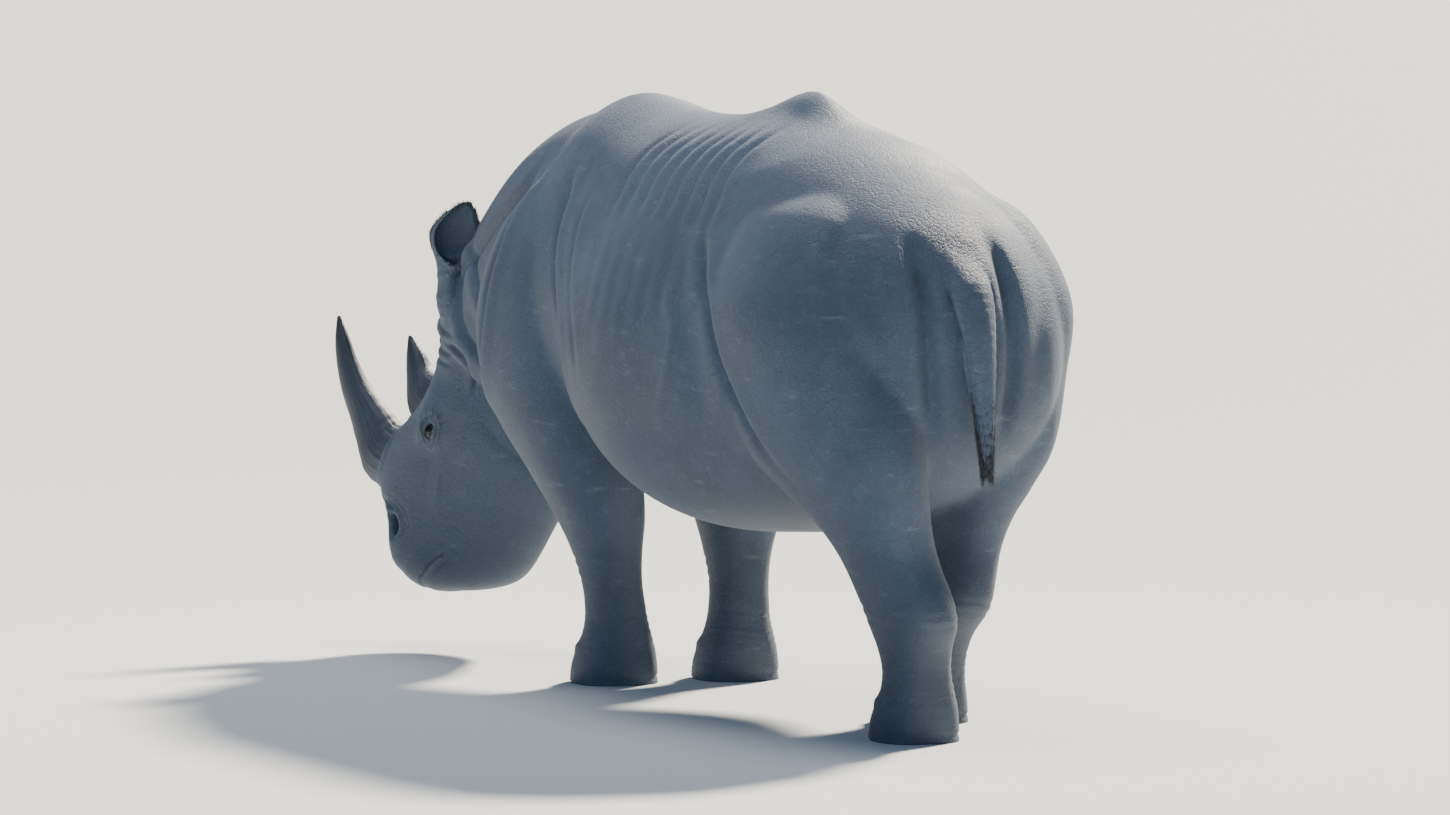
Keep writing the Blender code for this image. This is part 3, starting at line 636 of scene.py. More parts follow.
def tail_shape():
    """The tail as a flattened tube that narrows to its tip, ringed with shallow wrinkles."""
    rows = [(0, y, z, -fall, 0, half, deep, deep, 2.2, 2.2) for y, z, fall, half, deep in TAIL]
    table = spline(rows, 22)
    along = np.linspace(0, 1, len(table))
    wave = 1 + 0.014 * np.sin(along * 190) * ramp(along, 0.30, 0.45) * ramp(0.98 - along, 0, 0.1)
    table[:, 5:8] *= wave[:, None]
    return closed_tube(rings(table, 40, 1))


# ---------------------------------------------------------------- folds of the body
FLANK_FOLDS = [
    # line on the side view as y, z; width, depth, height of the lip, share that fades at each end
    (
        [(-0.86, 1.63), (-0.93, 1.53), (-0.92, 1.42), (-0.912, 1.315), (-0.925, 1.195)]
        + [(-0.935, 1.076), (-0.96, 0.954), (-1.03, 0.83), (-1.10, 0.72)],
        (0.022, 0.022, 0.012, 0.22),  # front of the shoulder
    ),
    (
        [(-0.67, 1.55), (-0.613, 1.443), (-0.545, 1.30), (-0.448, 1.157), (-0.36, 1.045)]
        + [(-0.34, 0.93), (-0.37, 0.81), (-0.42, 0.70)],
        (0.022, 0.027, 0.011, 0.22),  # back of the shoulder
    ),
    (
        [(-0.43, 1.50), (-0.40, 1.38), (-0.33, 1.25), (-0.24, 1.13), (-0.16, 1.02), (-0.12, 0.90)],
        (0.020, 0.008, 0.004, 0.3),  # behind the shoulder
    ),
    (
        [(0.44, 1.46), (0.455, 1.38), (0.50, 1.307), (0.546, 1.217), (0.62, 1.111), (0.675, 1.01)]
        + [(0.751, 0.919), (0.833, 0.823), (0.93, 0.74), (1.04, 0.66)],
        (0.024, 0.026, 0.006, 0.32),  # front of the thigh
    ),
    (
        [(0.40, 1.34), (0.44, 1.25), (0.50, 1.12), (0.53, 1.00), (0.54, 0.88), (0.52, 0.78)],
        (0.060, 0.016, 0.0, 0.45),  # hollow of the groin
    ),
    (
        [(0.34, 1.29), (0.371, 1.19), (0.424, 1.108), (0.404, 0.994), (0.359, 0.907), (0.32, 0.82)],
        (0.022, -0.007, 0.0, 0.4),  # web of skin from the thigh to the belly
    ),
]
HIP_RIDGE = [(0.40, 1.47), (0.468, 1.527), (0.556, 1.56), (0.66, 1.60), (0.78, 1.60)]
RIB_COUNT = 8
RIB_START, RIB_PITCH = -0.22, 0.09  # along the body
RIB_FOLD = [(0.0, 1.69), (-0.03, 1.64), (-0.035, 1.595), (-0.015, 1.53), (0.03, 1.46), (0.07, 1.38)]
RIB_TAIL = [(0.04, 1.42), (0.09, 1.30), (0.11, 1.16), (0.11, 1.02)]
RUMP_FOLDS = [
    # line in space on the left; width, depth, height of the lip, share that fades at each end
    (
        [(0.115, 1.10, 1.41), (0.13, 1.19, 1.30), (0.131, 1.231, 1.219)]
        + [(0.131, 1.262, 1.083), (0.12, 1.25, 0.93), (0.10, 1.22, 0.80)],
        (0.026, 0.030, 0.008, 0.25),  # beside the tail
    ),
    (
        [(0.255, 1.00, 1.44), (0.267, 1.077, 1.353), (0.271, 1.175, 1.219)]
        + [(0.236, 1.228, 1.111), (0.215, 1.25, 0.97), (0.20, 1.23, 0.84)],
        (0.048, 0.013, 0.0, 0.45),  # down the back of the thigh
    ),
]
HOCK_STEP = [(-0.16, 1.19, 0.60), (-0.24, 1.21, 0.565), (-0.33, 1.16, 0.60), (-0.38, 1.08, 0.66)]
NECK_CREASE = [
    *[(0.243, -1.026, 1.534), (0.275, -1.139, 1.441), (0.287, -1.259, 1.367)],
    *[(0.289, -1.404, 1.271), (0.291, -1.513, 1.20), (0.303, -1.547, 1.122)],
]
COLLAR_FOLDS = [
    # down the skull and out of the brow
    [(0.02, -0.03), (0.10, -0.10), (0.17, -0.16), (0.20, -0.25), (0.20, -0.38), (0.17, -0.50)],
    [(-0.10, -0.02), (-0.03, -0.12), (0.03, -0.22), (0.06, -0.34), (0.04, -0.48)],
]


def body_folds(skin):
    """Folds of the shoulders, flanks and thighs, the ribs, and swells of height a at y, z that fall off
    as a exp(-(dy / long)^2 - (dz / tall)^2)."""
    x, y, z = skin.p.T
    flank = ramp(np.abs(skin.n[:, 0]), 0.12, 0.45)
    outer = flank * ramp(np.abs(x), 0.10, 0.20)
    for line, (width, depth, lip, taper) in FLANK_FOLDS:
        skin.fold(y, z, line, width, depth, lip, outer, taper)
    skin.fold(y, z, HIP_RIDGE, 0.030, -0.002, 0.0, ramp(np.abs(x), 0.08, 0.18), 0.3)
    beside_spine = ramp(np.abs(x), 0.05, 0.15)
    for top in RIB_START + RIB_PITCH * np.arange(RIB_COUNT):
        skin.fold(y, z, np.add(RIB_FOLD, (top, 0)), 0.021, 0.011, 0.005, beside_spine, 0.28)
        skin.fold(y, z, np.add(RIB_TAIL, (top, 0)), 0.026, 0.0028, 0.0012, beside_spine, 0.4)
    for force, swell, along, long, level, tall in (
        (flank, -0.008, 0.36, 0.09, 1.36, 0.12),
        (outer, 0.014, -0.78, 0.12, 1.38, 0.16),
        (outer, -0.010, -0.60, 0.07, 1.40, 0.12),
        (outer, 0.010, 0.80, 0.14, 1.18, 0.18),
    ):
        skin.height += swell * bell(y, along, long) * bell(z, level, tall) * force


def rump_folds(skin):
    """Hollows beside the tail and down the back of the thighs, and the step of skin over the hock."""
    for side in (1, -1):
        for line, (width, depth, lip, taper) in RUMP_FOLDS:
            skin.fold3(np.multiply(line, (side, 1, 1)), width, depth, lip, taper)
    skin.fold3(HOCK_STEP, 0.020, 0.012, 0.014, taper=0.25)


def neck_folds(skin):
    """The long crease down the left of the turned neck and the collar folds behind the cheeks."""
    skin.fold3(NECK_CREASE, 0.020, 0.016, 0.010, taper=0.2)
    sides = ramp(np.abs(skin.hx), 0.05, 0.12)
    for line in COLLAR_FOLDS:
        skin.fold(skin.hd, skin.hh, line, 0.018, 0.014, 0.009, sides, 0.2)


# ---------------------------------------------------------------- the face
def eye_ring(d, h):
    """Offsets along and across the eye's opening, and the elliptical radius, 1 at the lids' edge."""
    along, across = tilted(d + EYE_PLACE[1], h - EYE_PLACE[2], EYE_TILT)
    return along, across, np.hypot(along / EYE_HALF_LENGTH, across / EYE_HALF_HEIGHT)


def eyeball_out(along, across):
    """How far from the skull's middle the ball's surface stands: x + sqrt(r^2 - a^2 - c^2)."""
    return EYE_PLACE[0] + np.sqrt(np.maximum(EYE_RADIUS**2 - along**2 - across**2, 0))


def lids(skin):
    """Rolls and creases of the lids follow the opening as wavering rings that fade towards its
    corners, with a heavy brow above and a fan of wrinkles below."""
    along, across, ring = eye_ring(skin.hd, skin.hh)
    near = (np.abs(skin.hx) > FACE_SIDE) & (ring < 9)
    turn = np.arctan2(across / EYE_HALF_HEIGHT, along / EYE_HALF_LENGTH)
    waver = 0.07 * np.sin(2 * turn + 0.6) + 0.05 * np.sin(3 * turn - 1.1) + 0.02 * np.sin(7 * turn)
    loose = ring * (1 + waver * ramp(ring, 1.3, 3.0))
    upper, lower = ramp(across, -0.002, 0.012), ramp(-across, -0.002, 0.012)
    middle = bell(along, 0.0, 0.034)
    over, under = upper * (0.25 + 0.75 * middle), lower * middle
    for force, radius, width, rise in (
        (over, 2.15, 0.24, -0.0034),
        (over, 3.2, 0.34, -0.0022),
        (over, 4.4, 0.44, -0.0012),
        (under, 1.95, 0.22, -0.0020),
        (under, 2.8, 0.28, -0.0020),
        (under, 3.8, 0.36, -0.0013),
        (upper * (0.4 + 0.6 * middle), 2.65, 0.36, 0.0042),
        (lower, 2.35, 0.28, 0.0022),
        (ramp(-along, -0.05, 0.03) * (1 - upper), 3.4, 1.2, -0.004),
    ):
        skin.height += near * rise * bell(loose, radius, width) * force
    skin.height += near * 0.011 * bell(across, 0.046, 0.018) * bell(along, -0.004, 0.055)
    for lean in -0.9 + 0.42 * np.arange(5):
        fan = along * math.sin(lean) - across * math.cos(lean)
        far = along * math.cos(lean) + across * math.sin(lean)
        reach = ramp(-far, 0.030, 0.045) * ramp(far + 0.10, 0, 0.04)
        skin.height -= near * 0.0018 * bell(fan, 0, 0.0028) * reach


def open_lids(points):
    """Over the laid skin: outside the opening the lids wrap the ball, out to its own sphere plus their
    thickness; inside it the skin sinks behind the ball."""
    x, d, h = to_head(points)
    along, across, ring = eye_ring(d, h)
    ball, depth = eyeball_out(along, across), np.abs(x)
    roll = ball + LID_THICKNESS * np.sqrt(np.maximum(0.0, 1 - ((ring - 1.45) / 0.95) ** 2))
    depth = np.where(ring < 1, np.minimum(depth, ball - 0.006), np.maximum(depth, roll))
    x = np.where((np.abs(x) > FACE_SIDE) & (ring < 2.4), np.sign(x) * depth, x)
    return from_head(np.stack([x, -d, h], axis=-1))


def nostrils(skin):
    """A comma-shaped hollow on each side of the muzzle, -a (1 - r^2)^0.35 within r = 1, with a raised
    wing above it and rings round it."""
    along, across = tilted(skin.hd - NOSTRIL_PLACE[0], skin.hh - NOSTRIL_PLACE[1], NOSTRIL_TILT)
    across = across - NOSTRIL_CURL * along**2
    ring = np.hypot(along / NOSTRIL_HALF_LENGTH, across / NOSTRIL_HALF_HEIGHT)
    near = (np.abs(skin.hx) > MUZZLE_SIDE) & (ring < 7)
    skin.height -= near * 0.030 * np.maximum(0.0, 1 - ring**2) ** 0.35
    skin.height += near * 0.0075 * bell(ring, 1.55, 0.42) * ramp(across, -0.010, 0.006)
    for rise, radius, width in ((0.003, 1.5, 0.4), (-0.0022, 2.7, 0.35), (-0.0015, 3.8, 0.45)):
        skin.height += near * rise * bell(ring, radius, width)


def mouth(skin):
    """The mouth line from the corner round the front of the square lips, and the folds at its corner."""
    x, d, h = skin.hx, skin.hd, skin.hh
    side = ramp(np.abs(x), 0.0, 0.02)
    line = [(0.860, -0.372), (0.895, -0.352), (0.93, -0.338), (0.97, -0.328), (1.02, -0.322), (1.40, -0.320)]
    skin.fold(d, h, line, 0.0045, 0.0055, taper=0.12)
    skin.height += 0.005 * ramp(h, -0.345, -0.310) * ramp(-0.235 - h, 0, 0.04) * ramp(d, 0.88, 0.96)
    skin.height += 0.004 * ramp(-0.335 - h, 0, 0.02) * ramp(h, -0.43, -0.38) * ramp(d, 0.86, 0.93)
    corner = [(0.867, -0.315), (0.840, -0.352), (0.842, -0.400), (0.867, -0.440)]
    for number in range(4):
        arc = np.subtract(corner, (0.020 * number, 0))
        skin.fold(d, h, arc, 0.0075, 0.0024 - 0.0004 * number, 0.0012, side, 0.4)
    chin = [(0.86, -0.40), (0.93, -0.365), (1.00, -0.345)]
    skin.fold(d, h, chin, 0.008, 0.004, 0.002, side, 0.3)


def horn_collars(skin):
    """The skin swells a little round each horn's base and dips where it meets the horn."""
    top = ramp(skin.hh, -0.20, -0.10)
    for d, half, long in ((0.750, 0.087, 0.104), (0.522, 0.068, 0.090)):
        ring = np.hypot(skin.hx / half, (skin.hd - d) / long)
        skin.height += top * (0.0045 * bell(ring, 1.10, 0.09) - 0.0025 * bell(ring, 1.28, 0.07))


def face(skin):
    """Bones, hollows and wrinkles of the face, in d down the skull and h out of the brow."""
    d, h = skin.hd, skin.hh
    head = ramp(d, -0.05, 0.06) * ramp(1.1 - d, 0, 0.05) * (skin.p[:, 2] < 1.35)
    side = ramp(np.abs(skin.hx), 0.06, 0.12) * head
    brow = head * ramp(skin.head_n[:, 2], -0.2, 0.3)
    for rise, down, long, out, tall in (
        (-0.012, 0.38, 0.055, -0.125, 0.045),
        (0.010, 0.34, 0.10, -0.40, 0.10),
        (-0.008, 0.63, 0.06, -0.17, 0.05),
    ):
        skin.height += rise * side * bell(d, down, long) * bell(h, out, tall)
    for line, width, depth, lip, taper in (
        ([(0.50, -0.250), (0.40, -0.262), (0.30, -0.262), (0.20, -0.235)], 0.026, -0.009, 0.0, 0.3),
        ([(0.56, -0.245), (0.64, -0.250), (0.72, -0.262), (0.78, -0.285)], 0.022, -0.006, 0.0, 0.3),
        ([(0.40, -0.30), (0.44, -0.38), (0.46, -0.46), (0.45, -0.54)], 0.016, 0.003, 0.002, 0.35),
        (
            [(0.16, -0.50), (0.26, -0.545), (0.38, -0.575), (0.50, -0.585), (0.62, -0.58)],
            *(0.014, 0.005, 0.003, 0.3),
        ),
        (
            [(0.271, -0.100), (0.252, -0.160), (0.262, -0.215), (0.31, -0.245), (0.37, -0.262)],
            *(0.010, 0.010, 0.006, 0.25),
        ),
    ):
        skin.fold(d, h, line, width, depth, lip, side, taper)
    cheek = [(0.615, -0.185), (0.655, -0.203), (0.710, -0.215), (0.745, -0.219)]
    for number in range(3):
        line = np.subtract(cheek, (0, 0.030 * number))
        skin.fold(d, h, line, 0.0080, 0.0016, 0.0008, side, 0.4)
        skin.height -= 0.0022 * head * bell(d, 0.845 + 0.022 * number, 0.0055) * ramp(h, -0.16, -0.10)
    forehead = [(0.225, 0.03), (0.237, -0.05), (0.227, -0.11), (0.205, -0.16)]
    for number in range(4):
        skin.fold(d, h, np.add(forehead, (0.036 * number, 0)), 0.0085, 0.0045, 0.0025, brow, 0.3)


# ---------------------------------------------------------------- the legs
def leg_folds(skin):
    """Creases of wrist and hock, rings of the pastern, the swelling over each nail, the grooves
    between the toes and the edge of the pad, each a bell round its level or its angle."""
    x, y, z = skin.p.T
    levels = np.linspace(0, 1.1, 56)
    for name, (table, side, *_) in LEGS.items():
        fore = table is FORE_LEG
        shifts = np.array([leg_shift(name, level) for level in levels])
        rows = np.array([(row[0], side * row[1], row[2]) for row in table])[::-1]
        cx = np.interp(levels, rows[:, 0], rows[:, 1]) + shifts[:, 0]
        cy = np.interp(levels, rows[:, 0], rows[:, 2]) + shifts[:, 1]
        dx, dy = x - np.interp(z, levels, cx), y - np.interp(z, levels, cy)
        near = (np.hypot(dx, dy) < 0.26) & (z < 0.62)
        angle = np.arctan2(dx, -dy)
        front, rear = ramp(np.cos(angle), -0.2, 0.6), ramp(-np.cos(angle), -0.2, 0.6)
        wave = 0.010 * np.cos(2 * angle + side)
        rise = 0.004 * bell(z, 0.335, 0.05) * (front if fore else rear) - 0.004 * bell(z, 0.020, 0.006) * rear
        bends = ((0.335, 0.0036), (0.362, 0.0030), (0.305, 0.0028)) if fore else ((0.36, 0.0025), (0.33, 0.0021))
        for level, deep in bends:
            rise -= deep * bell(z + wave, level, 0.0075) * (front if fore else 1.0)
        for level in 0.205 - 0.022 * np.arange(5):
            rise -= 0.0021 * bell(z + 0.6 * wave, level, 0.006) * (0.4 + 0.6 * rear)
        for nail_angle, half in zip(NAIL_ANGLES, NAIL_HALF_WIDTHS):
            away = (angle - math.radians(nail_angle) + math.pi) % (2 * math.pi) - math.pi
            reach = half / FOOT_RADIUS
            rise += 0.007 * bell(z, 0.108, 0.018) * bell(away, 0, 1.25 * reach)
            rise += 0.004 * bell(z, 0.055, 0.04) * bell(away, 0, reach)
        for groove in TOE_GROOVES:
            rise -= 0.007 * bell(angle, math.radians(groove), 0.09) * ramp(0.125 - z, 0, 0.03)
        skin.height += near * rise


def soft_joins(points):
    """Weights of the soft joins: of the ears' roots and the tail's together, and of the tail's alone."""
    weight = np.zeros(len(points))
    for side in (1, -1):
        root, axes = ear_frame(side)
        local = (points - root) @ axes
        around = np.linalg.norm(local[:, :2], axis=1)
        weight += ramp(0.15 - around, 0, 0.05) * ramp(0.10 - np.abs(local[:, 2] - 0.02), 0, 0.05)
    tail_root = [(0.0, y, z) for y, z, *_ in TAIL[:4]]
    span, share, _, near = near_curve(points, spline(tail_root, 8), 0.18)
    tail = np.zeros(len(points))
    tail[near] = ramp(0.17 - span, 0, 0.06) * ramp(1 - share, 0, 0.35)
    return np.clip(weight + tail, 0, 1), tail


def make_skin():
    """The finished skin: rough joined form, ears and tail added, then every fold laid on."""
    obj = rough_skin()
    flat_soles(obj.data)
    (left_ear, left_cup), (right_ear, right_cup) = (ear_shapes(side) for side in (1, -1))
    solids = [add_shape("part", *shape) for shape in (left_ear, right_ear, tail_shape())]
    joined_by(obj, solids, "UNION")
    joined_by(obj, [add_shape("cup", *shape) for shape in (left_cup, right_cup)], "DIFFERENCE")
    mesh = obj.data
    joins, tail_join = soft_joins(coordinates(mesh))
    relaxed(mesh, joins, ROOT_RELAX)
    relaxed(mesh, tail_join, TAIL_RELAX)
    for zone in (near_face, near_features, near_eye):
        refine(mesh, zone(coordinates(mesh)))
    skin = Skin(coordinates(mesh), directions(mesh))
    for step in (body_folds, rump_folds, neck_folds, face, lids, nostrils, mouth, horn_collars, leg_folds):
        step(skin)
    place_points(mesh, open_lids(skin.lay()))
    thin = obj.modifiers.new("thin", "DECIMATE")
    thin.ratio = min(1.0, SKIN_TRIANGLES / sum(len(face.vertices) - 2 for face in mesh.polygons))
    thin.use_collapse_triangulate = True
    mesh = with_modifiers(obj)
    mesh.materials.clear()
    place_points(mesh, coordinates(mesh) + SHIFT)
    mesh.polygons.foreach_set("material_index", np.zeros(len(mesh.polygons), np.int32))
    mesh.shade_smooth()
    return obj


def near_face(points):
    x, d, h = to_head(points)
    return (d > 0.02) & (d < 1.2) & (h > -0.66) & (h < 0.1) & (np.abs(x) < 0.26) & (points[:, 2] < 1.3)


def near_eye(points, reach=0.036):
    x, d, h = to_head(points)
    return (np.abs(x) > FACE_SIDE) & (np.hypot(d + EYE_PLACE[1], h - EYE_PLACE[2]) < reach)


def near_features(points):
    """Round the eyes, the nostrils and the mouth line."""
    x, d, h = to_head(points)
    away = np.hypot(d - NOSTRIL_PLACE[0], h - NOSTRIL_PLACE[1] - 0.01)
    nostril = (np.abs(x) > MUZZLE_SIDE) & (away < 0.075)
    lips = (d > 0.76) & (d < 1.2) & (np.abs(h + 0.31) < 0.035)
    return near_eye(points, 0.075) | nostril | lips


# The hide's material uses this measure for painted shade and dirt in the hollows and a painted highlight on the
# ridges.
def hollows(mesh, steps=3):
    """How hollow the skin is at each point: the mean of its neighbours, measured along the normal
    and divided by their mean squared distance, then averaged over the neighbours a few times."""
    start, stop, degree = neighbours(mesh)
    points, normals = coordinates(mesh), directions(mesh)
    count = len(points)
    edge = points[stop] - points[start]
    reach = (edge**2).sum(1)
    rise = gathered(start, stop, (edge * normals[start]).sum(1), -(edge * normals[stop]).sum(1), count)
    square = gathered(start, stop, reach, reach, count)
    bend = np.clip(rise / np.maximum(square, 1e-9), -400, 400)
    for _ in range(steps):
        bend = 0.5 * (bend + gathered(start, stop, bend[stop], bend[start], count) / degree)
    return bend


# ---------------------------------------------------------------- horns, nails, eyes and hair
def placed(name, loops):
    """A closed tube through loops as an object in the frame of the solids."""
    points, faces = closed_tube(loops)
    return add_shape(name, points + SHIFT, faces)


def horn(name, rows, seed):
    """Rings of radius r (1 + a(s) f(t)): f is a sum of sines of the angle t for the bundled fibres of
    the base, a fades with the share s of the length, and shallow growth rings cross them."""
    table = spline([(0, -d, h, lean, 0, half, front, back, 2, 2) for d, h, lean, half, front, back in rows], 22)
    loops = rings(table, HORN_SIDES, 1)
    s = np.linspace(0, 1, len(table))[:, None]
    t = np.linspace(0, 2 * math.pi, HORN_SIDES, endpoint=False)[None, :]
    middle = loops.mean(axis=1, keepdims=True)
    fibres = 0.5 * np.sin(17 * t + seed + 2 * s) + 0.35 * np.sin(31 * t + 2.1 * seed - 3 * s)
    fibres = fibres + 0.3 * np.sin(53 * t + 0.7 * seed + 5 * s)
    coarse = 0.6 * np.sin(3 * t + seed) + 0.4 * np.sin(5 * t + 1.7 * seed + 4 * s)
    growth = np.sin(s * 75 + 0.9 * np.sin(2 * t + seed)) * ramp(0.62 - s, 0, 0.35)
    swell = (0.022 * ramp(0.45 - s, 0, 0.4) + 0.004) * fibres + 0.016 * coarse * (1 - s) + 0.008 * growth
    made = placed(name, from_head(middle + (loops - middle) * (1 + swell[..., None])))
    store(made.data, "grain", np.stack([np.cos(t) + 0 * s, np.sin(t) + 0 * s, s + 0 * t], -1).reshape(-1, 3))
    return made


def nail(name, leg, angle, half):
    """A domed plate: half width w (1 - (0.985 z / H)^3.2)^(1/2) at height z, set round the foot's rim."""
    x, y, _, _, _, reach, front, *_ = leg_rows(leg)[-2]
    turn = math.radians(angle)
    c, s = math.cos(turn), math.sin(turn)
    levels = np.linspace(0, 1, 22)
    heights = NAIL_LIFT + (NAIL_HEIGHT - NAIL_LIFT) * levels
    across = half * np.sqrt(np.maximum(0.0, 1 - (levels * 0.985) ** 3.2))
    stand = NAIL_STAND * (0.95 - 1.25 * levels**2) + 0.0006 * np.sin(levels * 40)
    rows = [(0, 0, z, 90, 0, a, NAIL_FRONT + out, NAIL_BACK, 2.3, 2.3) for z, a, out in zip(heights, across, stand)]
    place = np.array([x + (reach - NAIL_FRONT) * s, y - (front - NAIL_FRONT) * c, 0.0])
    spin = np.array([[c, -s, 0], [s, c, 0], [0, 0, 1]])
    return placed(name, rings(rows, 48, 1) @ spin.T + place)


def eye(name, side):
    """A sphere of rings of latitude p round the line of sight, r (1 + 0.05 exp(-(p / 0.55)^2)), with
    the sight's own directions kept for its iris."""
    polar = np.linspace(0.0, math.pi, 49)[1:-1, None]
    turn = np.linspace(0, 2 * math.pi, 72, endpoint=False)[None, :]
    out = np.stack([np.cos(polar) + 0 * turn, np.sin(polar) * np.cos(turn), np.sin(polar) * np.sin(turn)], -1)
    bulge = 1 + 0.05 * bell(polar, 0, 0.55)
    made = placed(name, from_head((EYE_RADIUS * bulge[..., None] * out + EYE_PLACE) * [side, 1, 1]))
    store(made.data, "sight", out.reshape(-1, 3))
    return made


def tufts(name, roots, out, lengths, width, droop, places):
    """Hairs as closed three-sided spikes: at share s the middle is root + L (s dir + s^2 droop), the
    radius width (1 - s)^0.7, and the last ring shrinks to a point."""
    out = out / np.linalg.norm(out, axis=1, keepdims=True)
    helper = np.where(np.abs(out[:, 2:]) < 0.9, [[0, 0, 1.0]], [[1.0, 0, 0]])
    first = np.cross(out, helper)
    first /= np.linalg.norm(first, axis=1, keepdims=True)
    second = np.cross(out, first)
    shares, turn = HAIR_SHARES[:, None], np.array([0, 2 * math.pi / 3, 4 * math.pi / 3])
    sides, size = len(turn), len(turn) * len(shares)
    middle = roots[:, None] + lengths[:, None, None] * (shares * out[:, None] + shares**2 * droop[:, None])
    round_ = np.cos(turn)[:, None] * first[:, None, None] + np.sin(turn)[:, None] * second[:, None, None]
    points = (middle[:, :, None] + width * (1 - shares[..., None]) ** 0.7 * round_).reshape(-1, 3)
    quads = ring_quads(len(shares), sides)
    ends = [[2, 1, 0], [size - 3, size - 2, size - 1]]
    triangles = np.vstack([quads[:, [0, 1, 2]], quads[:, [0, 2, 3]], ends])
    faces = (np.arange(len(roots))[:, None, None] * size + triangles).reshape(-1, 3)
    corner = points[faces]
    if np.einsum("ij,ij->", corner[:, 0] - points.mean(0), np.cross(corner[:, 1], corner[:, 2])) < 0:
        faces = faces[:, ::-1]
    made = add_shape(name, points + SHIFT, faces.tolist())
    spread = np.tile(np.stack([np.cos(turn), np.sin(turn)], -1), (len(shares), 1)) * 0.0015
    spots = (places[:, None] + spread[None]).reshape(-1, 2)
    layer = made.data.uv_layers.new(name="OFBake")
    layer.data.foreach_set("uv", spots[faces.ravel()].astype(np.float32).ravel())
    return made


def ear_fringe(name, side, chance):
    """Short dark hairs along the rim of the cup, longest at the tip."""
    root, axes = ear_frame(side)
    table, count = spline(EAR, 9), FRINGE_HAIRS
    along = chance.uniform(0.50, 1.0, count) ** 0.8
    turn = np.where(chance.random(count) < 0.5, 0.12, math.pi - 0.12) + chance.normal(0, 0.10, count)
    tip = along > 0.93
    turn = np.where(tip, chance.uniform(0.1, math.pi - 0.1, count), turn)
    half, deep = np.interp(along, table[:, 0], table[:, 1]), np.interp(along, table[:, 0], table[:, 2])
    x = ear_bend(side, along) + 0.985 * half * np.cos(turn)
    spot = np.stack([x, 0.985 * deep * np.sin(turn), along * EAR_LENGTH], -1)
    out = np.stack([np.cos(turn) * (1.0 - 0.5 * tip), 0.25 + 0 * x, 0.55 + 0.8 * along**4], -1)
    out += chance.normal(0, 0.16, out.shape)
    length = (0.005 + 0.007 * along**6) * chance.uniform(0.7, 1.25, count)
    droop = chance.normal(0, 0.12, out.shape)
    places = np.stack([0.05 + 0.9 * (turn / math.pi) % 0.9, 0.05 + 0.9 * along], -1)
    return tufts(name, spot @ axes.T + root, out @ axes.T, length, FINE_HAIR, droop @ axes.T, places)


def tail_tuft(chance):
    """Coarse bristles down both edges and round the tip of the tail, hanging with it."""
    table, count = spline(TAIL, 22), TAIL_HAIRS
    share = 0.70 + 0.30 * chance.random(count) ** 0.7
    at = share * (len(table) - 1)
    low = np.minimum(at.astype(int), len(table) - 2)
    y, z, fall, half, deep = (table[low] + (table[low + 1] - table[low]) * (at - low)[:, None]).T
    turn = chance.uniform(0, 2 * math.pi, count)
    edge = np.where(chance.random(count) < 0.6, np.round(turn / math.pi) * math.pi, turn)
    turn = edge + chance.normal(0, 0.25, count)
    lean, rise = np.radians(fall), deep * np.sin(turn)
    spot = np.stack([half * np.cos(turn), y + rise * np.sin(lean), z + rise * np.cos(lean)], -1)
    out = np.stack([0.22 * np.cos(turn), np.cos(lean) + 0.16 * np.sin(turn), -np.sin(lean)], -1)
    out += chance.normal(0, 0.10, out.shape)
    length = (0.012 + 0.026 * ((share - 0.7) / 0.3) ** 2) * chance.uniform(0.6, 1.2, count)
    droop = np.array([0, 0, -0.25]) + chance.normal(0, 0.06, (count, 3))
    places = np.stack([0.05 + 0.9 * (turn / (2 * math.pi)) % 0.9, 0.05 + 0.9 * share], -1)
    return tufts("tail_hair", spot, out, length, BRISTLE, droop, places)


def lashes(name, side, chance):
    """Short stiff lashes along the upper lid."""
    count = LASH_HAIRS
    turn = np.linspace(math.radians(12), math.radians(168), count) + chance.normal(0, 0.02, count)
    u, v = tilted(EYE_HALF_LENGTH * 1.10 * np.cos(turn), EYE_HALF_HEIGHT * 1.18 * np.sin(turn), -EYE_TILT)
    spot = np.stack([side * (eyeball_out(u, v) + 0.0015), EYE_PLACE[1] - u, v + EYE_PLACE[2]], -1)
    out = np.stack([side * (0.9 + 0 * u), -0.5 * np.cos(turn), -0.25 + 0.25 * np.sin(turn)], -1)
    out += chance.normal(0, 0.10, out.shape)
    droop = np.tile([0, 0, -0.35], (count, 1)) @ HEAD_TURN.T
    length = 0.013 * chance.uniform(0.7, 1.2, count)
    places = np.stack([0.1 + 0.8 * turn / math.pi, 0.5 + 0.02 * chance.random(count)], -1)
    return tufts(name, from_head(spot), out @ HEAD_TURN.T, length, FINE_HAIR, droop, places)


# ---------------------------------------------------------------- materials
def srgb(code):
    """Linear colour of a hex sRGB code: ((c + 0.055) / 1.055)^2.4 above 0.04045, else c / 12.92."""
    parts = [int(code[k : k + 2], 16) / 255 for k in (1, 3, 5)]
    return [c / 12.92 if c <= 0.04045 else ((c + 0.055) / 1.055) ** 2.4 for c in parts] + [1.0]


def fill(tree, made, inputs):
    """Sets or links the inputs of a node."""
    for socket, value in inputs.items():
        if isinstance(value, bpy.types.NodeSocket):
            tree.links.new(value, made.inputs[socket])
        else:
            made.inputs[socket].default_value = value


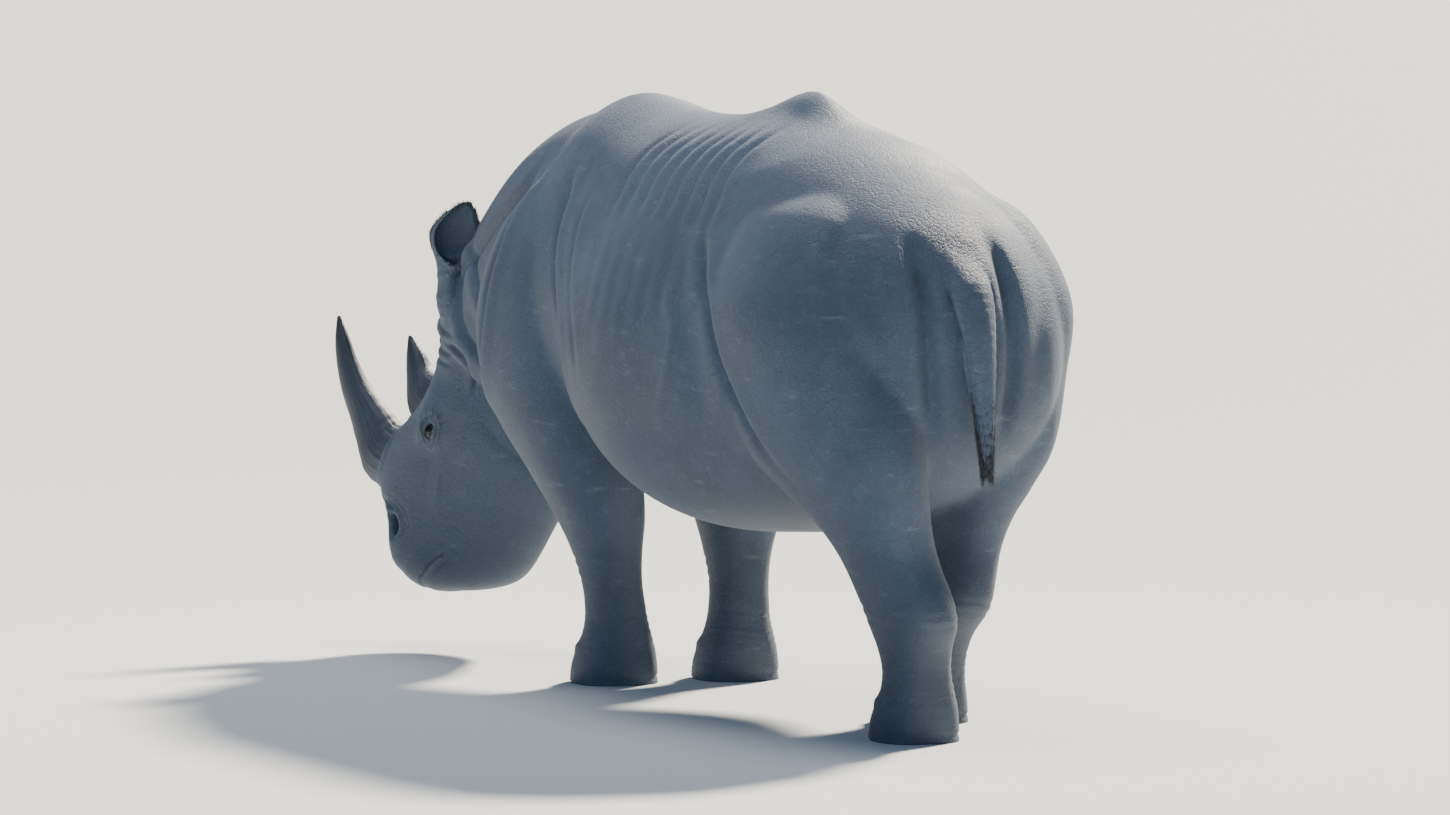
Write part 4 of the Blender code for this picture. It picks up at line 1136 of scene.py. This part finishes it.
NODES = {
    # word: type, settings, the inputs that a call's values go to in turn, output
    "mix": ("Mix", {"data_type": "RGBA"}, (0, 6, 7), 2),
    "band": ("MapRange", {"interpolation_type": "SMOOTHSTEP"}, (0, 1, 2, 3, 4), 0),
    "times": ("Math", {"operation": "MULTIPLY"}, (0, 1), 0),
    "plus": ("Math", {"operation": "ADD"}, (0, 1), 0),
    "minus": ("Math", {"operation": "SUBTRACT"}, (0, 1), 0),
    "power": ("Math", {"operation": "POWER"}, (0, 1), 0),
    "root": ("Math", {"operation": "SQRT"}, (0,), 0),
    "moved": ("VectorMath", {"operation": "ADD"}, (0, 1), 0),
    "scaled": ("VectorMath", {"operation": "MULTIPLY"}, (0, 1), 0),
    "noise": ("TexNoise", {}, ("Vector", "Scale", "Detail", "Roughness"), "Fac"),
    "cloud": ("TexNoise", {}, ("Vector", "Scale", "Detail"), "Color"),
    "border": ("TexVoronoi", {"feature": "DISTANCE_TO_EDGE"}, ("Vector", "Scale"), "Distance"),
    "place": ("TexCoord", {}, (), "Object"),
    "number": ("Attribute", {}, (), "Fac"),
    "vector": ("Attribute", {}, (), "Vector"),
    "y": ("SeparateXYZ", {}, (0,), "Y"),
    "z": ("SeparateXYZ", {}, (0,), "Z"),
    "bump": ("Bump", {}, ("Height", "Strength", "Distance"), 0),
}


def node(tree, word, *values, **settings):
    """Adds a node by its word, sets or links its inputs, and gives back its output. A band is a smooth
    step of a value from low to high, to 0 and 1 or to two given numbers."""
    kind, usual, sockets, output = NODES[word]
    made = tree.nodes.new("ShaderNode" + kind)
    for key, value in (usual | settings).items():
        setattr(made, key, value)
    fill(tree, made, dict(zip(sockets, values)))
    return made.outputs[output]


def layered(tree, code, layers):
    """Lays each colour over those before it by its share."""
    colour = srgb(code)
    for share, over in layers:
        colour = node(tree, "mix", share, colour, srgb(over))
    return colour


def new_material(name):
    made = bpy.data.materials.new(name)
    made.use_nodes = True
    tree = made.node_tree
    tree.nodes.clear()
    surface = tree.nodes.new("ShaderNodeBsdfPrincipled")
    fill(tree, tree.nodes.new("ShaderNodeOutputMaterial"), {"Surface": surface.outputs[0]})
    return made, tree, surface


def hide_material():
    """White rhinoceros hide: thick slate-grey skin, cracked into small plates and creased into larger ones,
    with pale dust in faint streaks, a painted highlight along its ridges, painted shade and dirt in its folds,
    mud and painted shade on the shanks, painted shade on the ears, and mud and painted shade on the face."""
    made, tree, surface = new_material("rhino_hide")
    spot = node(tree, "place")
    drift = node(tree, "scaled", node(tree, "cloud", spot, WAVER, 3.0), (0.035, 0.035, 0.035))
    bent = node(tree, "moved", spot, drift)
    plates, grains, creases = (node(tree, "border", bent, 1 / size) for size in (PLATE_SIZE, GRAIN_SIZE, CREASE_SIZE))
    mottle = node(tree, "noise", spot, MOTTLE, 6.0, 0.6)
    blotch = node(tree, "noise", spot, BLOTCH, 5.0, 0.7)
    speckle = node(tree, "noise", spot, SPECKLE, 4.0)
    streaks = node(tree, "noise", node(tree, "scaled", spot, (1.0, 1.0, 4.5)), STREAK, 7.0, 0.72)
    hollow, ear, face_share = (node(tree, "number", attribute_name=name) for name in ("hollow", "ear", "face"))
    crack = node(tree, "band", plates, 0.0, 0.10, 1.0, 0.0)
    fine_crack = node(tree, "band", grains, 0.0, 0.14, 1.0, 0.0)
    crease = node(tree, "band", creases, 0.0, 0.045, 1.0, 0.0)
    crease = node(tree, "times", crease, node(tree, "band", blotch, 0.42, 0.62))
    # mask for mud and painted shade, stronger lower down the legs
    shank_mud_and_shade = node(tree, "minus", node(tree, "z", spot), node(tree, "times", mottle, 0.35))
    layers = (
        (node(tree, "band", mottle, 0.35, 0.68), "#4e5e71"),
        (node(tree, "band", blotch, 0.48, 0.74, 0.0, 0.45), "#596a7b"),
        (node(tree, "band", blotch, 0.44, 0.28, 0.0, 0.40), "#354353"),
        (node(tree, "band", speckle, 0.55, 0.78, 0.0, 0.25), "#677786"),
        (node(tree, "band", streaks, 0.57, 0.72, 0.0, 0.40), "#7b8a98"),
        # painted highlight: lighter where the skin bulges out along its ridges
        (node(tree, "band", hollow, -1.0, -16.0, 0.0, 0.40), "#707e8c"),
        # painted shade and dirt: darker in the skin's hollows and folds
        (node(tree, "band", hollow, 1.5, 24.0, 0.0, 0.55), "#273038"),
        (node(tree, "times", crack, 0.26), "#353f48"),
        (node(tree, "times", fine_crack, 0.18), "#3a434d"),
        (node(tree, "times", crease, 0.24), "#2d353d"),
        # mud and painted shade: darker low on the legs
        (node(tree, "band", shank_mud_and_shade, 0.50, 0.0, 0.0, 0.35), "#384047"),
        # painted shade: the ears' blades darker
        (node(tree, "times", ear, 0.25), "#313840"),
        # mud and painted shade: the face a little darker
        (node(tree, "times", face_share, 0.25), "#3c4755"),
    )
    rise = node(tree, "times", node(tree, "band", plates, 0.0, 0.16), 0.50)
    grained = node(tree, "band", grains, 0.0, 0.2)
    for relief, weight in ((grained, 0.26), (speckle, 0.30), (crease, -0.7), (blotch, 1.6)):
        rise = node(tree, "plus", rise, node(tree, "times", relief, weight))
    finish = {"Base Color": layered(tree, "#3d4d60", layers), "Normal": node(tree, "bump", rise, 0.55, 0.0022)}
    finish |= {"Roughness": node(tree, "band", mottle, 0.3, 0.7, 0.56, 0.74), "Specular IOR Level": 0.4}
    fill(tree, surface, finish | {"Sheen Weight": 0.08})
    return made


def horn_material():
    """Horn: packed keratin fibres, near black where worn smooth, greyer and frayed at the base."""
    made, tree, surface = new_material("rhino_horn")
    grain = node(tree, "vector", attribute_name="grain")
    fibres = node(tree, "noise", node(tree, "scaled", grain, (1.0, 1.0, 0.16)), HORN_FIBRES, 5.0, 0.65)
    stains = node(tree, "noise", grain, HORN_STAINS, 4.0)
    along = node(tree, "z", grain)
    layers = (
        (node(tree, "band", fibres, 0.38, 0.66), "#424f5f"),
        (node(tree, "band", stains, 0.42, 0.7, 0.0, 0.6), "#2c3641"),
        (node(tree, "band", along, 0.30, 0.02, 0.0, 0.55), "#4c5b6c"),
        (node(tree, "band", along, 0.55, 1.0, 0.0, 0.6), "#1d232c"),
    )
    finish = {"Base Color": layered(tree, "#232c36", layers), "Normal": node(tree, "bump", fibres, 0.5, 0.0025)}
    fill(tree, surface, finish | {"Roughness": node(tree, "band", along, 0.2, 0.9, 0.62, 0.40)})
    return made


def nail_material():
    """Toenail: thick grey horn, ringed by growth, scuffed pale at the lower edge."""
    made, tree, surface = new_material("rhino_nail")
    spot = node(tree, "place")
    ringed = node(tree, "noise", node(tree, "scaled", spot, (1.0, 1.0, 7.0)), NAIL_RINGS, 5.0)
    worn = node(tree, "noise", spot, NAIL_WEAR, 4.0)
    layers = (
        (node(tree, "band", ringed, 0.35, 0.65), "#555a5d"),
        (node(tree, "band", worn, 0.5, 0.75, 0.0, 0.35), "#696b6b"),
        (node(tree, "band", node(tree, "z", spot), 0.026, 0.008, 0.0, 0.40), "#727372"),
    )
    finish = {"Base Color": layered(tree, "#3d4049", layers), "Normal": node(tree, "bump", ringed, 0.45, 0.002)}
    fill(tree, surface, finish | {"Roughness": 0.5})
    return made


def eye_material():
    """Eye: dark brown iris round an oval pupil, darker rim, all under a wet cornea."""
    made, tree, surface = new_material("rhino_eye")
    sight = node(tree, "vector", attribute_name="sight")
    wide, tall = (node(tree, "power", node(tree, axis, sight), 2.0) for axis in "yz")
    radius = node(tree, "root", node(tree, "plus", wide, tall))
    oval = node(tree, "root", node(tree, "plus", wide, node(tree, "times", tall, 3.2)))
    rays = node(tree, "noise", sight, IRIS_RAYS, 4.0)
    layers = (
        (node(tree, "band", rays, 0.35, 0.7), "#1c150e"),
        (node(tree, "band", radius, 0.50, 0.60), "#0c0908"),
        (node(tree, "band", radius, 0.62, 0.72), "#1b1a1d"),
        (node(tree, "band", oval, 0.34, 0.27), "#030303"),
    )
    finish = {"Base Color": layered(tree, "#100d0b", layers), "Roughness": 0.30, "Specular IOR Level": 0.30}
    fill(tree, surface, finish | {"Coat Weight": 0.15, "Coat Roughness": 0.06})
    return made


def hair_material():
    """Hair: coarse, brown-black, dusty."""
    made, tree, surface = new_material("rhino_hair")
    tone = node(tree, "noise", node(tree, "place"), HAIR_TONES, 2.0)
    layers = [(node(tree, "band", tone, 0.35, 0.7), "#4a4d51")]
    fill(tree, surface, {"Base Color": layered(tree, "#2d3035", layers), "Roughness": 0.55})
    return made


# ---------------------------------------------------------------- the whole
def ear_share(points):
    """1 on the blade of an ear, fading down its stalk: the mask of the painted shade on the ears."""
    share = np.zeros(len(points))
    for side in (1, -1):
        root, axes = ear_frame(side)
        local = (points - SHIFT - root) @ axes
        close = np.hypot(local[:, 0], local[:, 1]) < 0.10
        share = np.maximum(share, close * ramp(local[:, 2], 0.10, 0.19))
    return share


def dress(piece, material):
    piece.data.materials.append(material)
    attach(piece, "root")


def stand_in(piece, material, slot, *nodes):
    """Dresses a piece that stands for nodes of the solid model."""
    dress(piece, material)
    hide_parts(*nodes)


def flesh_nodes():
    names = ["trunk", "neck", "head", "lower_jaw", "ear_left", "ear_right", "tail"]
    for leg in LEGS:
        names += [f"leg_{leg}_upper", f"leg_{leg}_lower", f"foot_{leg}"]
    return names


def animal():
    """Skin, horns, nails, eyes and hair, each with its finish."""
    hide, keratin, claw = hide_material(), horn_material(), nail_material()
    wet, dark = eye_material(), hair_material()
    skin = make_skin()
    mesh = skin.data
    points = coordinates(mesh)
    x, d, h = to_head(points - SHIFT)
    # Masks for the hide: mud and painted shade on the face, painted shade on the ears, and the hollows for painted
    # shade and dirt in the folds and a painted highlight on the ridges.
    head = ramp(d, 0.15, 0.45) * ramp(1.3 - points[:, 2], 0, 0.2) * ramp(h, -0.75, -0.6) * (np.abs(x) < 0.3)
    for name, values in (("hollow", hollows(mesh)), ("ear", ear_share(points)), ("face", head)):
        store(mesh, name, values)
    stand_in(skin, hide, "hide", *flesh_nodes())
    stand_in(horn("front_horn", FRONT_HORN, 0.6), keratin, "horn", "horn_front")
    stand_in(horn("rear_horn", REAR_HORN, 2.3), keratin, "horn", "horn_rear")
    for leg in LEGS:
        for number, (angle, half) in enumerate(zip(NAIL_ANGLES, NAIL_HALF_WIDTHS), 1):
            stand_in(nail(f"nail_{leg}_{number}", leg, angle, half), claw, "nail", f"toenail_{leg}_{number}")
    chance = np.random.default_rng(4)
    for side, word in ((1, "left"), (-1, "right")):
        stand_in(eye(f"eyeball_{word}", side), wet, "eyeball", f"eye_{word}")
        dress(ear_fringe(f"ear_hair_{word}", side, chance), dark)
        dress(lashes(f"lashes_{word}", side, chance), dark)
    dress(tail_tuft(chance), dark)


def studio():
    """A wide pale floor, one soft distant lamp from behind, broad near ones and the camera."""
    away = np.array([-math.sin(math.radians(CAMERA_SIDE)), -math.cos(math.radians(CAMERA_SIDE)), 0.0])
    across = np.array([away[1], -away[0], 0.0])
    corners = FLOOR_REACH * np.array([(-1, -1, 0), (1, -1, 0), (1, 1, 0), (-1, 1, 0)])
    floor = add_shape("studio_floor", corners, [(0, 1, 2, 3)])
    paper, tree, surface = new_material("studio_paper")
    fill(tree, surface, {"Base Color": srgb("#d4d5d3"), "Roughness": 0.9})
    floor.data.materials.append(paper)
    world = bpy.data.worlds.new("studio_air")
    world.use_nodes = True
    air = world.node_tree
    fill(air, air.nodes["Background"], {"Color": srgb(AIR_COLOUR), "Strength": AIR_STRENGTH})
    bpy.context.scene.world = world
    for name, kind, (along, side, up), width, strength, colour in LAMPS:
        lamp = bpy.data.lights.new(name, kind)
        if kind == "SUN":
            lamp.angle = math.radians(width)
        else:
            lamp.shape = "DISK"
            lamp.size = width
        lamp.energy = strength
        lamp.color = srgb(colour)[:3]
        stand = bpy.data.objects.new(name, lamp)
        from_aim = away * along + across * side + np.array([0, 0, up - LAMP_AIM[2]])
        stand.location = LAMP_AIM + from_aim
        stand.rotation_euler = Vector(from_aim).to_track_quat("Z", "Y").to_euler()
        bpy.context.scene.collection.objects.link(stand)
    camera = bpy.data.cameras.new("camera")
    camera.lens = CAMERA_LENS
    camera.sensor_width = CAMERA_SENSOR
    viewer = bpy.data.objects.new("camera", camera)
    viewer.location = Vector(CAMERA_PLACE + SHIFT)
    down = math.radians(CAMERA_DOWN)
    look = Vector(away * math.cos(down) - np.array([0, 0, math.sin(down)]))
    viewer.rotation_euler = (-look).to_track_quat("Z", "Y").to_euler()
    bpy.context.scene.collection.objects.link(viewer)
    bpy.context.scene.camera = viewer


animal()
studio()
